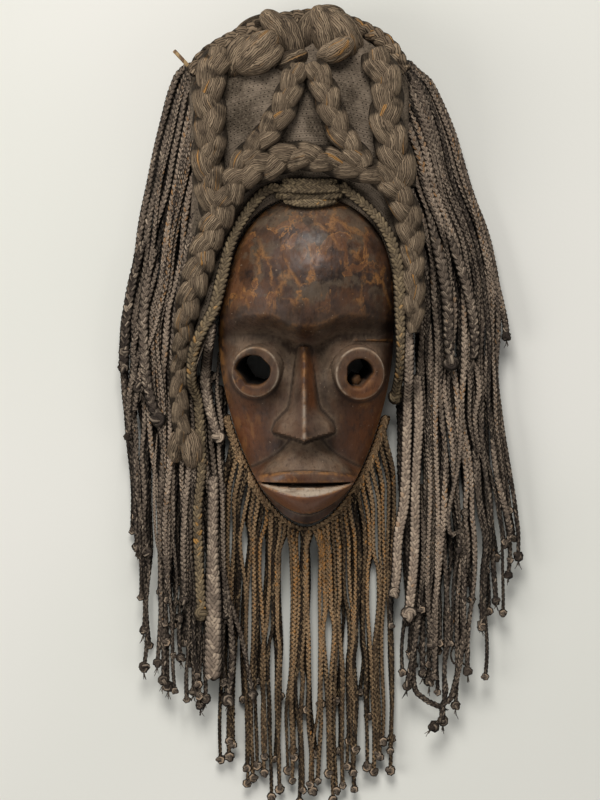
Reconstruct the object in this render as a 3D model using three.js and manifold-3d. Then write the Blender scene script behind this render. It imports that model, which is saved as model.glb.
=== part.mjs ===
// Dan race mask: a carved wooden face sewn into a knitted cotton cap, with thick cotton plaits over
// the cap, thin braids hanging at both sides and a beard of thin braids under the jaw.
// The mask lies on its back: the wood's flat rim is on the ground at z = 0, the face looks up +Z,
// the crown points to +Y and the beard to -Y. All sizes are millimetres.
import * as THREE from "three";
import { mergeVertices } from "three/addons/utils/BufferGeometryUtils.js";
import Module from "manifold-3d";

const wasm = await Module();
wasm.setup();

// Clearance kept between two pieces that touch.
const GAP = 0.35;
const REST_CLEARANCE = 0.8;

// The wood's outline seen from the front: an egg, widest at the temples, pointed at the chin.
const WOOD = { halfWidth: 66.6, widestY: 20, topY: 128, chinY: -121, rimHeight: 24, wall: 9 };
// How full the outline is above and below its widest place, and how blunt the chin is.
const FULLNESS = { above: 2.8, below: 1.6, chin: 0.56 };
const CAVITY_HEIGHT = 38;

// The two eye tubes splay a little: each has its rim centre, outer radius, bore and bore centre.
const EYES = [
  { side: -1, x: -37.5, y: -6, radius: 17.8, boreX: -39.2, boreY: -4.2, bore: 12.2 },
  { side: 1, x: 41, y: -7.5, radius: 18, boreX: 41.2, boreY: -7.2, bore: 10.6 },
];
const EYE = { front: 67, foot: 40, lean: 0.16, droop: 0.128, sink: 2, sides: 18 };

// The dome over the rim, and the forehead that stands forward of it down to the brow.
const DOME = { rise: 30, roundness: 0.42 };
const FOREHEAD = { rise: 25, middleY: 55, below: 95, above: 85, halfWidth: 74, roundness: 2.4 };
const BROW = { y: 22, arch: 9, archFrom: 4, archTo: 30, templeDrop: 3, templeFrom: 42, templeTo: 62 };
const BROW_UNDERSIDE = { low: -9, high: 7, grooveY: -11, grooveWidth: 5, grooveDepth: 3.5, endX: 66 };
const SOCKET = { x: 39, y: -7, radius: 15, moundRise: 5, moundWidth: 7 };
const BRIDGE_HOLLOW = { x: 15, y: 4, width: 8, height: 13, depth: 6 };
const CHEEK = { drop: 5, fromY: 20, toY: 60, fromX: 18, toX: 46 };
const FLANK = { low: 0.02, high: 0.08, rise: 80 };

const NOSE = { ridgeY: 15, ridgeHeight: 57, slope: 0.37, fall: 1.55, tipY: -56.5, wingX: 22, wingLift: 6.5 };
const WING = { topY: -24, drop: 8.5, fall: 0.34, narrow: 5.5, spread: 14.5, fromY: 27, toY: 45, edge: 1.5 };
const MUZZLE = { topY: -54, height: 54, rise: 13.5, length: 26, narrow: 17, spread: 21.5, fall: 12 };
const MOUTH = { cornerX: 37, lipTopY: -79, slitY: -89, lowerLipY: -111, slitHalfWidth: 34, slitDepth: 14 };
const LIP = { bow: 6.5, fullness: 2.2, bevelShare: 0.4, bevelLow: 63.5, bevelRise: 6.5, roll: 13, cornerLift: 23 };
const CHIN = { y: -108, height: 44, halfWidth: 20, halfHeight: 16, fall: 14 };
// Deep enough to lose one carved form under another, and the slope of an undercut edge.
const UNDER = -50;
const UNDERCUT = 60;

// The cap's silhouette from the left temple over the crown to the right temple.
const CAP_OUTLINE = [
  [-86, -6], [-89, 40], [-90, 90], [-90, 140], [-91, 190], [-90, 224],
  [-73, 241], [-46, 255.5], [-12, 265.5], [22, 266.5], [61, 248], [78, 225],
  [79, 185], [77, 140], [78, 95], [80, 45], [80, -6],
];
const CAP = { innerX: 59, innerY: 100, reach: 0.2, crestLow: 45, crestHigh: 64, wall: 4.5, steps: 22 };
const CAP_ACROSS = [0, 0.15, 0.32, 0.55, 0.75, 0.9, 1];

// Side hair: every braid keeps its lane beside the outermost one.
const LANE = {
  pitch: 6.5, radius: 2.7, rootShare: 0.72, outermostGap: 0.7, height: 15.2, rootRise: 8, highRoot: 110,
};
const LANE_STEPS = 7;
const LANE_RINGS_EVERY = 50;
const RIGHT_FLARE = { extra: 1.6, fromY: 40, toY: 180 };
const LEFT_EDGE = [
  [-96, 224], [-104, 203], [-113, 164], [-121, 127.5], [-127.5, 93], [-132, 64.5],
  [-138, 34.5], [-139, -7.5], [-135, -64], [-132, -139], [-132.5, -206], [-131, -262],
];
const RIGHT_EDGE = [
  [81.5, 226], [96, 213], [112, 176], [124.5, 136], [135, 105], [143.5, 70.5],
  [145.5, 41], [145.5, -1], [147.5, -38], [152, -70], [157, -110], [161, -149], [160, -280],
];
const LEFT_ENDS = [-142, -205, -233, -230, -243, -248, -226, -252, -262, -257, -245];
const RIGHT_ENDS = [-149, -163, -183, -200, -236, -214, -262, -274, -244, -238];
const LEFT_WALL_X = -94.6;
const RIGHT_WALL_X = 83.2;
const CAP_ARM_END_Y = -12;
// The hair under the braids: its ridges, and x and height of its last columns beside the beard.
const MAT = { ridge: 11.6, groove: 9, margin: 16, rows: 7, innerStep: 2 };
const LEFT_INNER = [[-65, 9]];
const RIGHT_INNER = [[83, 15], [69, 14]];
const HAIR_TOP = LANE.height + LANE.radius + GAP;

const BEARD = { count: 18, left: -60.5, right: 64.5, radius: 3, lowest: -334, rows: 6, rootY: -52 };
const BEARD_HEM = { rise: 110, wave: 9, waveStep: 2.1 };
const JAW_CORD = { radius: 3.2, height: 13, heights: [-38, -58, -78, -95, -108, -117] };

// Where the arch plait swells and narrows: a knot at its left end, then thin, broad and thin again.
const ARCH_SHAPE = [
  [0, 1.05], [0.05, 1.12], [0.085, 0.76], [0.2, 0.78], [0.3, 1.12], [0.74, 1.05], [0.85, 0.78], [1, 0.7],
];
const KNOTTED_END = [[0, 0.85], [0.06, 1], [0.84, 1], [0.93, 1.5], [1, 1.4]];

const wood = { colour: 0x4a3024, roughness: 0.42, metalness: 0 };
const capCotton = { colour: 0x5b5049, roughness: 0.95, metalness: 0 };
const plaitCotton = { colour: 0x635349, roughness: 0.92, metalness: 0 };
const braidCotton = { colour: 0x574843, roughness: 0.92, metalness: 0 };
const beardCotton = { colour: 0x7a5a40, roughness: 0.92, metalness: 0 };
const reed = { colour: 0x9a8055, roughness: 0.7, metalness: 0 };

const clamp = THREE.MathUtils.clamp;

function smoothStep(value, low, high) {
  return THREE.MathUtils.smoothstep(value, low, high);
}

// The larger of two heights, with a rounded junction of the given width.
function softMax(a, b, width) {
  const share = clamp(0.5 + (0.5 * (a - b)) / width, 0, 1);
  return b + (a - b) * share + width * share * (1 - share);
}

function woodHalfWidth(y) {
  const up = clamp((y - WOOD.widestY) / (WOOD.topY - WOOD.widestY), 0, 1);
  const down = clamp((WOOD.widestY - y) / (WOOD.widestY - WOOD.chinY), 0, 1);
  const above = Math.sqrt(1 - up ** FULLNESS.above);
  const below = (1 - down ** FULLNESS.below) ** FULLNESS.chin;
  return WOOD.halfWidth * (y > WOOD.widestY ? above : below);
}

// 1 at the middle of the wood, 0 on its outline.
function insideShare(x, y) {
  const share = woodHalfWidth(y) / WOOD.halfWidth;
  return clamp(share * share - (x / WOOD.halfWidth) ** 2, 0, 1);
}

// A smooth bump of height 1 at a middle.
function bell(value, middle, width) {
  return Math.exp(-(((value - middle) / width) ** 2));
}

function noseHeight(x, y) {
  const side = Math.abs(x);
  const ridge = NOSE.ridgeHeight + (NOSE.ridgeY - y) * NOSE.slope;
  const bluntness = 1.2;
  let height = ridge - NOSE.fall * (Math.hypot(x, bluntness) - bluntness);
  height -= 3 * Math.max(0, y - NOSE.ridgeY + 2);
  if (y < WING.topY) {
    const width = WING.narrow + WING.spread * smoothStep(-y, WING.fromY, WING.toY);
    const over = Math.max(0, side - width + WING.edge);
    height = softMax(height, ridge - WING.drop - WING.fall * side - 2.4 * over ** 1.35, 2.5);
  }
  const below = NOSE.tipY + NOSE.wingLift * clamp(side / NOSE.wingX, 0, 1) ** 0.8 - y;
  const underside = 2.2;
  height -= 34 * clamp(below / underside, 0, 1) ** 0.8;
  return height - UNDERCUT * clamp((below - underside) / 2, 0, 1);
}

function slitLine(side) {
  return MOUTH.slitY + 2 * (side / MOUTH.cornerX) ** 2;
}

function upperLipHeight(x, y) {
  if (y > MUZZLE.topY + 4) return UNDER;
  const side = Math.abs(x);
  const width = MUZZLE.narrow + MUZZLE.spread * smoothStep(MUZZLE.topY - y, -2, 32);
  const rise = clamp((MUZZLE.topY - y) / MUZZLE.length, 0, 1) ** 0.8;
  const sides = MUZZLE.fall * (side / width) ** 2.2 + 2.2 * Math.max(0, side - width);
  const belowEdge = MOUTH.lipTopY - LIP.bow * (side / MOUTH.cornerX) ** 2 - y;
  const fullness = LIP.fullness * clamp(1 - (side / MOUTH.cornerX) ** 3, 0, 1);
  const lens = smoothStep(belowEdge, -0.6, 1.2) * fullness - 0.1 * Math.max(0, belowEdge - 2) ** 1.6;
  const height = MUZZLE.height + MUZZLE.rise * rise - sides + lens;
  return height - UNDERCUT * clamp((slitLine(side) - y) / 1.5, 0, 1);
}

function lowerLipHeight(x, y) {
  const side = Math.abs(x);
  const top = slitLine(side);
  if (y > top) return UNDER;
  const corner = side / MOUTH.cornerX;
  const edge = MOUTH.lowerLipY + LIP.cornerLift * clamp(corner, 0, 1.3) ** 1.9;
  const down = clamp((top - y) / Math.max(top - edge, 0.6), 0, 1);
  const bevel = LIP.bevelLow + LIP.bevelRise * Math.sin((clamp(down / LIP.bevelShare, 0, 1) * Math.PI) / 2);
  const rolled = clamp((down - LIP.bevelShare) / (1 - LIP.bevelShare), 0, 1) ** 2;
  const profile = down < LIP.bevelShare ? bevel : LIP.bevelLow + LIP.bevelRise - LIP.roll * rolled;
  return profile - LIP.roll * clamp(corner, 0, 1.4) ** 2.2 - UNDERCUT * clamp((edge - y) / 2.2, 0, 1);
}

// Height that the mouth's slit takes away.
function slitDepth(x, y) {
  const side = Math.abs(x);
  if (side >= MOUTH.slitHalfWidth) return 0;
  const half = 1.7 * (1 - (side / MOUTH.slitHalfWidth) ** 2) + 0.3;
  return MOUTH.slitDepth * Math.sqrt(clamp(1 - Math.abs(y - slitLine(side) + 0.3) / half, 0, 1));
}

// Height of the forehead over the dome, and the groove under its brow.
function foreheadHeight(side, y) {
  const arch = BROW.arch * smoothStep(side, BROW.archFrom, BROW.archTo);
  const brow = BROW.y + arch - BROW.templeDrop * smoothStep(side, BROW.templeFrom, BROW.templeTo);
  const reach = y < FOREHEAD.middleY ? FOREHEAD.below : FOREHEAD.above;
  const lengthways = Math.max(0, 1 - ((y - FOREHEAD.middleY) / reach) ** 2);
  const sideways = Math.max(0, 1 - (side / FOREHEAD.halfWidth) ** FOREHEAD.roundness);
  const under = smoothStep(y - brow, BROW_UNDERSIDE.low, BROW_UNDERSIDE.high);
  const groove = bell(y - brow, BROW_UNDERSIDE.grooveY, BROW_UNDERSIDE.grooveWidth);
  const grooveEnd = Math.max(0, 1 - (side / BROW_UNDERSIDE.endX) ** 4);
  return FOREHEAD.rise * lengthways * sideways * under - BROW_UNDERSIDE.grooveDepth * groove * grooveEnd;
}

// Height of the carved face above the rim plane, without the eye tubes.
function woodHeight(x, y) {
  const side = Math.abs(x);
  const inside = insideShare(x, y);
  if (inside <= 0) return 0;
  let height = WOOD.rimHeight + DOME.rise * inside ** DOME.roundness + foreheadHeight(side, y);
  const bridge = bell(side, BRIDGE_HOLLOW.x, BRIDGE_HOLLOW.width) * bell(y, BRIDGE_HOLLOW.y, BRIDGE_HOLLOW.height);
  height -= BRIDGE_HOLLOW.depth * bridge;
  const fromEye = Math.max(0, Math.hypot(side - SOCKET.x, y - SOCKET.y) - SOCKET.radius);
  height += SOCKET.moundRise * bell(fromEye, 0, SOCKET.moundWidth);
  height -= CHEEK.drop * smoothStep(-y, CHEEK.fromY, CHEEK.toY) * smoothStep(side, CHEEK.fromX, CHEEK.toX);
  height = softMax(height, noseHeight(x, y), 2.2);
  height = softMax(height, upperLipHeight(x, y), 1.6);
  height = softMax(height, lowerLipHeight(x, y), 1.2);
  height -= slitDepth(x, y);
  const fromChin = (x / CHIN.halfWidth) ** 2 + ((y - CHIN.y) / CHIN.halfHeight) ** 2;
  height = softMax(height, CHIN.height - CHIN.fall * fromChin, 2);
  const rim = WOOD.rimHeight * clamp(inside / FLANK.low, 0, 1) ** 0.4;
  return Math.min(height, rim + FLANK.rise * clamp(inside / FLANK.high, 0, 1) ** 0.8);
}

// Lines of the carving from chin to crown. A line is at height centre on the middle and at height
// end on the outline, and steps says how many rows of faces lead to the next line.
const CARVING_LINES = [
  { centre: -121, end: -121, power: 2, steps: 2 },
  { centre: -114, end: -93, power: 2, steps: 1 },
  { centre: -111.5, end: -91, power: 1.9, steps: 3 },
  { centre: -94.5, end: -89.2, power: 2, steps: 1 },
  { centre: -91, end: -88.4, power: 2, steps: 1 },
  { centre: -89.3, end: -87.8, power: 2, steps: 1 },
  { centre: -87.8, end: -87, power: 2, steps: 2 },
  { centre: -80.2, end: -86, power: 2, steps: 1 },
  { centre: -78, end: -84, power: 2, steps: 3 },
  { centre: -60, end: -51, power: 0.8, steps: 1 },
  { centre: -56, end: -47, power: 0.8, steps: 3 },
  { centre: -30, end: -26, power: 1, steps: 3 },
  { centre: 3, end: 3, power: 1, steps: 2 },
  { centre: 12, end: 19, power: 0.6, steps: 3 },
  { centre: 28, end: 36, power: 0.6, steps: 4 },
  { centre: 104, end: 100, power: 1, steps: 3 },
  { centre: WOOD.topY, end: WOOD.topY, power: 1, steps: 0 },
];
const CARVING_COLUMNS = [0, 0.04, 0.13, 0.24, 0.36, 0.47, 0.62, 0.8, 0.98, 1];

// Rows of points {x, y, share} that follow the lines of the carving.
function carvingRows(lines, columns) {
  const across = [...columns.slice(1).map((c) => -c).reverse(), ...columns];
  const rows = [];
  lines.forEach((line, index) => {
    const next = lines[index + 1];
    const count = next ? line.steps : 1;
    for (let step = 0; step < count; step += 1) {
      const share = next ? step / line.steps : 0;
      const target = next ?? line;
      const centre = THREE.MathUtils.lerp(line.centre, target.centre, share);
      const end = THREE.MathUtils.lerp(line.end, target.end, share);
      const power = THREE.MathUtils.lerp(line.power, target.power, share);
      const half = Math.max(woodHalfWidth(end), 0.4);
      rows.push(across.map((c) => ({ x: half * c, y: centre + (end - centre) * Math.abs(c) ** power })));
    }
  });
  return rows;
}

// A closed solid between two grids of points of the same size.
function solidBetween(top, bottom) {
  const rows = top.length;
  const columns = top[0].length;
  const positions = [];
  [top, bottom].forEach((grid) => grid.forEach((row) => row.forEach((p) => positions.push(p.x, p.y, p.z))));
  const index = [];
  const at = (layer, row, column) => (layer * rows + row) * columns + column;
  const quad = (a, b, c, d) => index.push(a, b, c, a, c, d);
  for (let r = 0; r < rows - 1; r += 1) {
    for (let c = 0; c < columns - 1; c += 1) {
      quad(at(0, r, c), at(0, r, c + 1), at(0, r + 1, c + 1), at(0, r + 1, c));
      quad(at(1, r, c), at(1, r + 1, c), at(1, r + 1, c + 1), at(1, r, c + 1));
    }
    quad(at(0, r, 0), at(0, r + 1, 0), at(1, r + 1, 0), at(1, r, 0));
    const last = columns - 1;
    quad(at(0, r, last), at(1, r, last), at(1, r + 1, last), at(0, r + 1, last));
  }
  for (let c = 0; c < columns - 1; c += 1) {
    quad(at(0, 0, c), at(1, 0, c), at(1, 0, c + 1), at(0, 0, c + 1));
    const end = rows - 1;
    quad(at(0, end, c), at(0, end, c + 1), at(1, end, c + 1), at(1, end, c));
  }
  const geometry = new THREE.BufferGeometry();
  geometry.setAttribute("position", new THREE.Float32BufferAttribute(positions, 3));
  geometry.setIndex(index);
  return geometry;
}

function toSolid(geometry) {
  const bare = geometry.clone();
  bare.deleteAttribute("normal");
  bare.deleteAttribute("uv");
  const merged = mergeVertices(bare, 1e-4);
  const vertProperties = new Float32Array(merged.attributes.position.array);
  const triVerts = new Uint32Array(merged.index.array);
  return new wasm.Manifold(new wasm.Mesh({ numProp: 3, vertProperties, triVerts }));
}

// Back to a geometry, keeping the largest body where a cut left crumbs.
function toGeometry(solid) {
  const { numProp, vertProperties, triVerts } = solid.getMesh();
  const positions = [];
  for (let i = 0; i < vertProperties.length; i += numProp) {
    positions.push(vertProperties[i], vertProperties[i + 1], vertProperties[i + 2]);
  }
  const geometry = new THREE.BufferGeometry();
  geometry.setAttribute("position", new THREE.Float32BufferAttribute(positions, 3));
  geometry.setIndex(largestBody(Array.from(triVerts), positions.length / 3));
  geometry.computeVertexNormals();
  return geometry;
}

function largestBody(index, vertexCount) {
  const parent = Array.from({ length: vertexCount }, (_, i) => i);
  const root = (i) => {
    let node = i;
    while (parent[node] !== node) {
      parent[node] = parent[parent[node]];
      node = parent[node];
    }
    return node;
  };
  for (let i = 0; i < index.length; i += 3) {
    parent[root(index[i])] = root(index[i + 1]);
    parent[root(index[i + 1])] = root(index[i + 2]);
  }
  const counts = new Map();
  for (let i = 0; i < index.length; i += 3) {
    const key = root(index[i]);
    counts.set(key, (counts.get(key) ?? 0) + 1);
  }
  const biggest = [...counts.entries()].sort((a, b) => b[1] - a[1])[0][0];
  return index.filter((_, i) => root(index[i - (i % 3)]) === biggest);
}

// The wood without its hollow, grown by a margin on every side.
function woodBlock(margin) {
  const rows = carvingRows(CARVING_LINES, CARVING_COLUMNS);
  const middleY = (WOOD.topY + WOOD.chinY) / 2;
  const growX = 1 + margin / WOOD.halfWidth;
  const growY = 1 + margin / (WOOD.topY - middleY);
  const place = (p, z) => ({ x: p.x * growX, y: middleY + (p.y - middleY) * growY, z });
  const top = rows.map((row) => row.map((p) => place(p, woodHeight(p.x, p.y) + margin + 0.01)));
  const bottom = rows.map((row) => row.map((p) => place(p, -margin)));
  return toSolid(solidBetween(top, bottom));
}

function woodCavity() {
  const lines = [-121, -100, -70, -35, 5, 50, 95, WOOD.topY].map((y) => ({
    centre: y, end: y, power: 1, steps: 1,
  }));
  const rows = carvingRows(lines, [0, 0.3, 0.6, 0.85, 1]);
  const middleY = (WOOD.topY + WOOD.chinY) / 2;
  const shrinkX = 1 - WOOD.wall / WOOD.halfWidth;
  const shrinkY = 1 - WOOD.wall / (WOOD.topY - middleY);
  const place = (p, z) => ({ x: p.x * shrinkX, y: middleY + (p.y - middleY) * shrinkY, z });
  const top = rows.map((row) => row.map((p) => place(p, CAVITY_HEIGHT * Math.sqrt(insideShare(p.x, p.y)) + 0.1)));
  const bottom = rows.map((row) => row.map((p) => place(p, -5)));
  return toSolid(solidBetween(top, bottom));
}

// A round bar through (x, y) at the eye's front, leaning outwards and down.
function eyeBar(eye, x, y, radius, low, high) {
  const geometry = new THREE.CylinderGeometry(radius, radius, high - low, EYE.sides);
  geometry.rotateX(Math.PI / 2);
  geometry.translate(0, 0, (low + high) / 2 - EYE.front);
  geometry.rotateX(EYE.droop);
  geometry.rotateY(eye.side * EYE.lean);
  geometry.translate(x, y, EYE.front - EYE.sink);
  return toSolid(geometry);
}

function faceSolid() {
  let face = woodBlock(0);
  for (const eye of EYES) {
    face = face.add(eyeBar(eye, eye.x, eye.y, eye.radius, EYE.foot, EYE.front));
  }
  face = face.subtract(woodCavity());
  for (const eye of EYES) {
    face = face.subtract(eyeBar(eye, eye.boreX, eye.boreY, eye.bore, -EYE.front, 2 * EYE.front));
  }
  return face;
}

// Cap surface: along runs over the crown from temple to temple, across from the wood outwards.
const capEdge = new THREE.CatmullRomCurve3(CAP_OUTLINE.map(([x, y]) => new THREE.Vector3(x, y, 0)));

function capPoint(along, across, inset) {
  const angle = THREE.MathUtils.lerp(Math.PI + CAP.reach, -CAP.reach, along);
  const inner = new THREE.Vector3(CAP.innerX * Math.cos(angle), WOOD.widestY + CAP.innerY * Math.sin(angle), 0);
  const outer = capEdge.getPoint(along);
  outer.x -= Math.sign(outer.x) * inset;
  if (outer.y > 200) outer.y -= inset;
  return inner.lerp(outer, across);
}

function capHeight(along, across) {
  const crown = Math.sin(Math.PI * clamp((along - 0.2) / 0.6, 0, 1));
  const crest = CAP.crestLow + (CAP.crestHigh - CAP.crestLow) * crown ** 0.6;
  const onWood = 48;
  if (across < 0.3) return THREE.MathUtils.lerp(onWood, crest, smoothStep(across, 0, 0.3));
  return crest * Math.sqrt(Math.max(0.12, 1 - ((across - 0.3) / 0.7) ** 3));
}

function capDome(grow, shift, slide, acrossSteps, steps) {
  const top = acrossSteps.map((across) => {
    const row = [];
    for (let i = 0; i <= steps; i += 1) {
      const along = i / steps;
      const p = capPoint(along, across, -grow);
      row.push({ x: p.x, y: p.y + slide, z: capHeight(along, across) + shift });
    }
    return row;
  });
  const bottom = top.map((row) => row.map((p) => ({ x: p.x, y: p.y, z: shift < 0 ? -5 : -grow })));
  return toSolid(solidBetween(top, bottom));
}

// Height of the highest surface under a point, or the hair's top beside the face.
const caster = new THREE.Raycaster();
const down = new THREE.Vector3(0, 0, -1);
const supports = [];

function restHeight(x, y) {
  caster.set(new THREE.Vector3(x, y, 500), down);
  const hits = caster.intersectObjects(supports);
  const solid = hits.length > 0 ? hits[0].point.z : 0;
  return Math.max(solid, HAIR_TOP);
}

// The value at a share of the way through the stops [share, value].
function valueAt(stops, share) {
  const after = stops.findIndex(([at]) => at > share);
  if (after < 0) return stops[stops.length - 1][1];
  const [[from, low], [to, high]] = [stops[after - 1], stops[after]];
  return THREE.MathUtils.lerp(low, high, (share - from) / (to - from));
}

// A rope through the points [x, y] or [x, y, z]. Its section has a width and a height, its rings
// are wide and narrow in turn by the share lobes, shape says how thick it is along its length, and
// each end closes in a point.
function rope(points, { width, height, sides = 6, step = 8, lobes = 0, shape = [[0, 1]] }, margin = 0) {
  const path = new THREE.CatmullRomCurve3(
    points.map(([x, y, z]) => new THREE.Vector3(x, y, z ?? restHeight(x, y) + height / 2 + REST_CLEARANCE)),
  );
  const rings = Math.max(3, Math.round(path.getLength() / step));
  const positions = [];
  const up = new THREE.Vector3(0, 0, 1);
  for (let i = 0; i <= rings; i += 1) {
    const share = i / rings;
    const centre = path.getPointAt(share);
    const tangent = path.getTangentAt(share);
    const across = new THREE.Vector3().crossVectors(tangent, up).normalize();
    const rise = new THREE.Vector3().crossVectors(across, tangent).normalize();
    const end = Math.min(share, 1 - share) * rings;
    const taper = end < 0.5 ? 0.55 : 1;
    const swell = valueAt(shape, share);
    const wave = i % 2 === 0 ? lobes : -lobes;
    for (let k = 0; k < sides; k += 1) {
      const turn = (2 * Math.PI * (k + 0.5)) / sides;
      const half = (width / 2) * taper * (1 + wave) * swell + margin;
      const tall = (height / 2) * taper * swell + margin;
      const p = centre.clone();
      p.addScaledVector(across, Math.cos(turn) * half);
      p.addScaledVector(rise, Math.sin(turn) * tall);
      positions.push(p.x, p.y, p.z);
    }
  }
  const ends = [0, 1].map((share) => {
    const tip = path.getPointAt(share);
    tip.addScaledVector(path.getTangentAt(share), (share === 0 ? -1 : 1) * (height * 0.12 + margin));
    positions.push(tip.x, tip.y, tip.z);
    return positions.length / 3 - 1;
  });
  const index = [];
  for (let i = 0; i < rings; i += 1) {
    for (let k = 0; k < sides; k += 1) {
      const a = i * sides + k;
      const b = i * sides + ((k + 1) % sides);
      index.push(a, a + sides, b, b, a + sides, b + sides);
    }
  }
  for (let k = 0; k < sides; k += 1) {
    const next = (k + 1) % sides;
    index.push(ends[0], k, next);
    index.push(ends[1], rings * sides + next, rings * sides + k);
  }
  const geometry = new THREE.BufferGeometry();
  geometry.setAttribute("position", new THREE.Float32BufferAttribute(positions, 3));
  geometry.setIndex(index);
  return geometry;
}

// A flattened ball of plaited cotton, turned about +Z, with the ridges of its coils.
function knob(x, y, lengthX, lengthY, height, turn, margin = 0) {
  const geometry = new THREE.SphereGeometry(1, 12, 7);
  const position = geometry.attributes.position;
  const middle = restHeight(x, y) + height * 0.34;
  for (let i = 0; i < position.count; i += 1) {
    const p = new THREE.Vector3().fromBufferAttribute(position, i);
    const ridge = 1 + 0.05 * Math.cos(5 * Math.atan2(p.y, p.x)) * (1 - p.z * p.z);
    p.set((p.x * ridge * lengthX) / 2, (p.y * ridge * lengthY) / 2, (p.z * height) / 2);
    p.addScaledVector(p.clone().normalize(), margin);
    p.applyAxisAngle(new THREE.Vector3(0, 0, 1), turn);
    position.setXYZ(i, p.x + x, p.y + y, p.z + middle);
  }
  return geometry;
}

const mask = new THREE.Group();
const keepOuts = [];

function addMesh(name, geometry, finish) {
  geometry.computeVertexNormals();
  const material = new THREE.MeshStandardMaterial({
    color: finish.colour, roughness: finish.roughness, metalness: finish.metalness,
  });
  const mesh = new THREE.Mesh(geometry, material);
  mesh.name = name;
  mask.add(mesh);
  return mesh;
}

// Adds a piece that rests on earlier ones: what they need is cut away from it. The function make
// gives the piece's geometry, grown by a margin.
function addRested(name, make, finish) {
  let solid = toSolid(make(0));
  for (const keepOut of keepOuts) {
    solid = solid.subtract(keepOut);
  }
  addMesh(name, toGeometry(solid), finish);
  keepOuts.push(toSolid(make(GAP)));
}

function addRope(name, points, section, finish) {
  addRested(name, (margin) => rope(points, section, margin), finish);
}

// x of a side's outermost braid at height y.
function edgeAt(edge, y) {
  const curve = new THREE.CatmullRomCurve3(edge.map(([x, height]) => new THREE.Vector3(x, height, 0)));
  const samples = curve.getPoints(160);
  const after = samples.findIndex((p) => p.y <= y);
  if (after <= 0) return samples[after === 0 ? 0 : samples.length - 1].x;
  const [a, b] = [samples[after - 1], samples[after]];
  return THREE.MathUtils.lerp(a.x, b.x, (a.y - y) / (a.y - b.y));
}

// One side of the hair: lane 0 is the outermost. inward is +1 on the left and -1 on the right.
function hairSide(edge, inward, wallX, flare) {
  const laneX = (lane, y) => {
    const pitch = LANE.pitch + flare * smoothStep(-y, RIGHT_FLARE.fromY, RIGHT_FLARE.toY);
    return edgeAt(edge, y) + inward * (lane === 0 ? -LANE.outermostGap : lane * pitch);
  };
  const rootY = (lane) => {
    let y = edge[0][1] - 3 - lane;
    while ((wallX - laneX(lane, y)) * inward < 0 && y > CAP_ARM_END_Y) y -= 2;
    return y;
  };
  return { laneX, rootY, inward };
}

function addBraids(side, label, ends) {
  ends.forEach((endY, lane) => {
    const top = side.rootY(lane);
    const points = [];
    const fromCrown = top > LANE.highRoot;
    for (let i = 0; i <= LANE_STEPS; i += 1) {
      const share = i / LANE_STEPS;
      const y = THREE.MathUtils.lerp(top, endY, share);
      const rise = fromCrown ? LANE.rootRise * (1 - smoothStep(share, 0, 0.3)) : 0;
      points.push([side.laneX(lane, y), y, LANE.height + rise]);
    }
    const shape = [[0, LANE.rootShare], [0.35, 1]];
    const section = { width: 2 * LANE.radius, height: 2 * LANE.radius, sides: 5, step: LANE_RINGS_EVERY, shape };
    const name = `${label}_braid_${String(lane + 1).padStart(2, "0")}`;
    addMesh(name, rope(points, section), braidCotton);
  });
}

// The hair under the front braids, a ridged mat that lies on the ground. Its last columns stand at
// the given [x, height] beside the beard.
function addMat(side, name, ends, inner) {
  const last = ends.length - 1;
  const column = (high, low, xAt, z) => {
    const heights = Array.from({ length: MAT.rows + 1 }, (_, i) => THREE.MathUtils.lerp(high, low, i / MAT.rows));
    return heights.map((y) => ({ x: xAt(y), y, z }));
  };
  const top = ends.map((end, index) => {
    const lane = index < last ? index + 0.5 : index;
    const low = Math.max(end, ends[Math.min(index + 1, last)]) + MAT.margin;
    const z = index % 2 === 0 ? MAT.groove : MAT.ridge;
    const limit = side.inward * inner[0][0] - MAT.innerStep * (last - index + 1);
    const xAt = (y) => side.inward * Math.min(side.inward * side.laneX(lane, y), limit);
    return column(side.rootY(lane) - 4, low, xAt, z);
  });
  for (const [x, z] of inner) {
    top.push(column(CAP_ARM_END_Y - 4, ends[last] + MAT.margin, () => x, z));
  }
  if (side.inward < 0) top.reverse();
  const bottom = top.map((row) => row.map((p) => ({ x: p.x, y: p.y, z: 0 })));
  addMesh(name, solidBetween(top, bottom), braidCotton);
}

// Point beside the wood's outline at height y, at a distance from the wood, on the left or right.
function besideWood(y, distance, side) {
  const slope = woodHalfWidth(y + 0.5) - woodHalfWidth(y - 0.5);
  const length = Math.hypot(1, slope);
  return [side * (woodHalfWidth(y) + distance / length), y - (distance * slope) / length];
}

function jawCordPoints() {
  const distance = JAW_CORD.radius + 2 * GAP;
  const left = JAW_CORD.heights.map((y) => besideWood(y, distance, -1));
  const right = JAW_CORD.heights.map((y) => besideWood(y, distance, 1)).reverse();
  const all = [...left, [0, WOOD.chinY - distance], ...right];
  return all.map(([x, y]) => [x, y, JAW_CORD.height]);
}

// Height at which the beard's braid at x leaves the jaw cord.
function beardRootY(x) {
  const distance = 2 * JAW_CORD.radius + 1.5 * BEARD.radius;
  let y = JAW_CORD.heights[0];
  while (besideWood(y, distance, 1)[0] > Math.abs(x) && y > WOOD.chinY) y -= 1;
  return clamp(besideWood(y, distance, 1)[1], WOOD.chinY - distance, BEARD.rootY);
}

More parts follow.
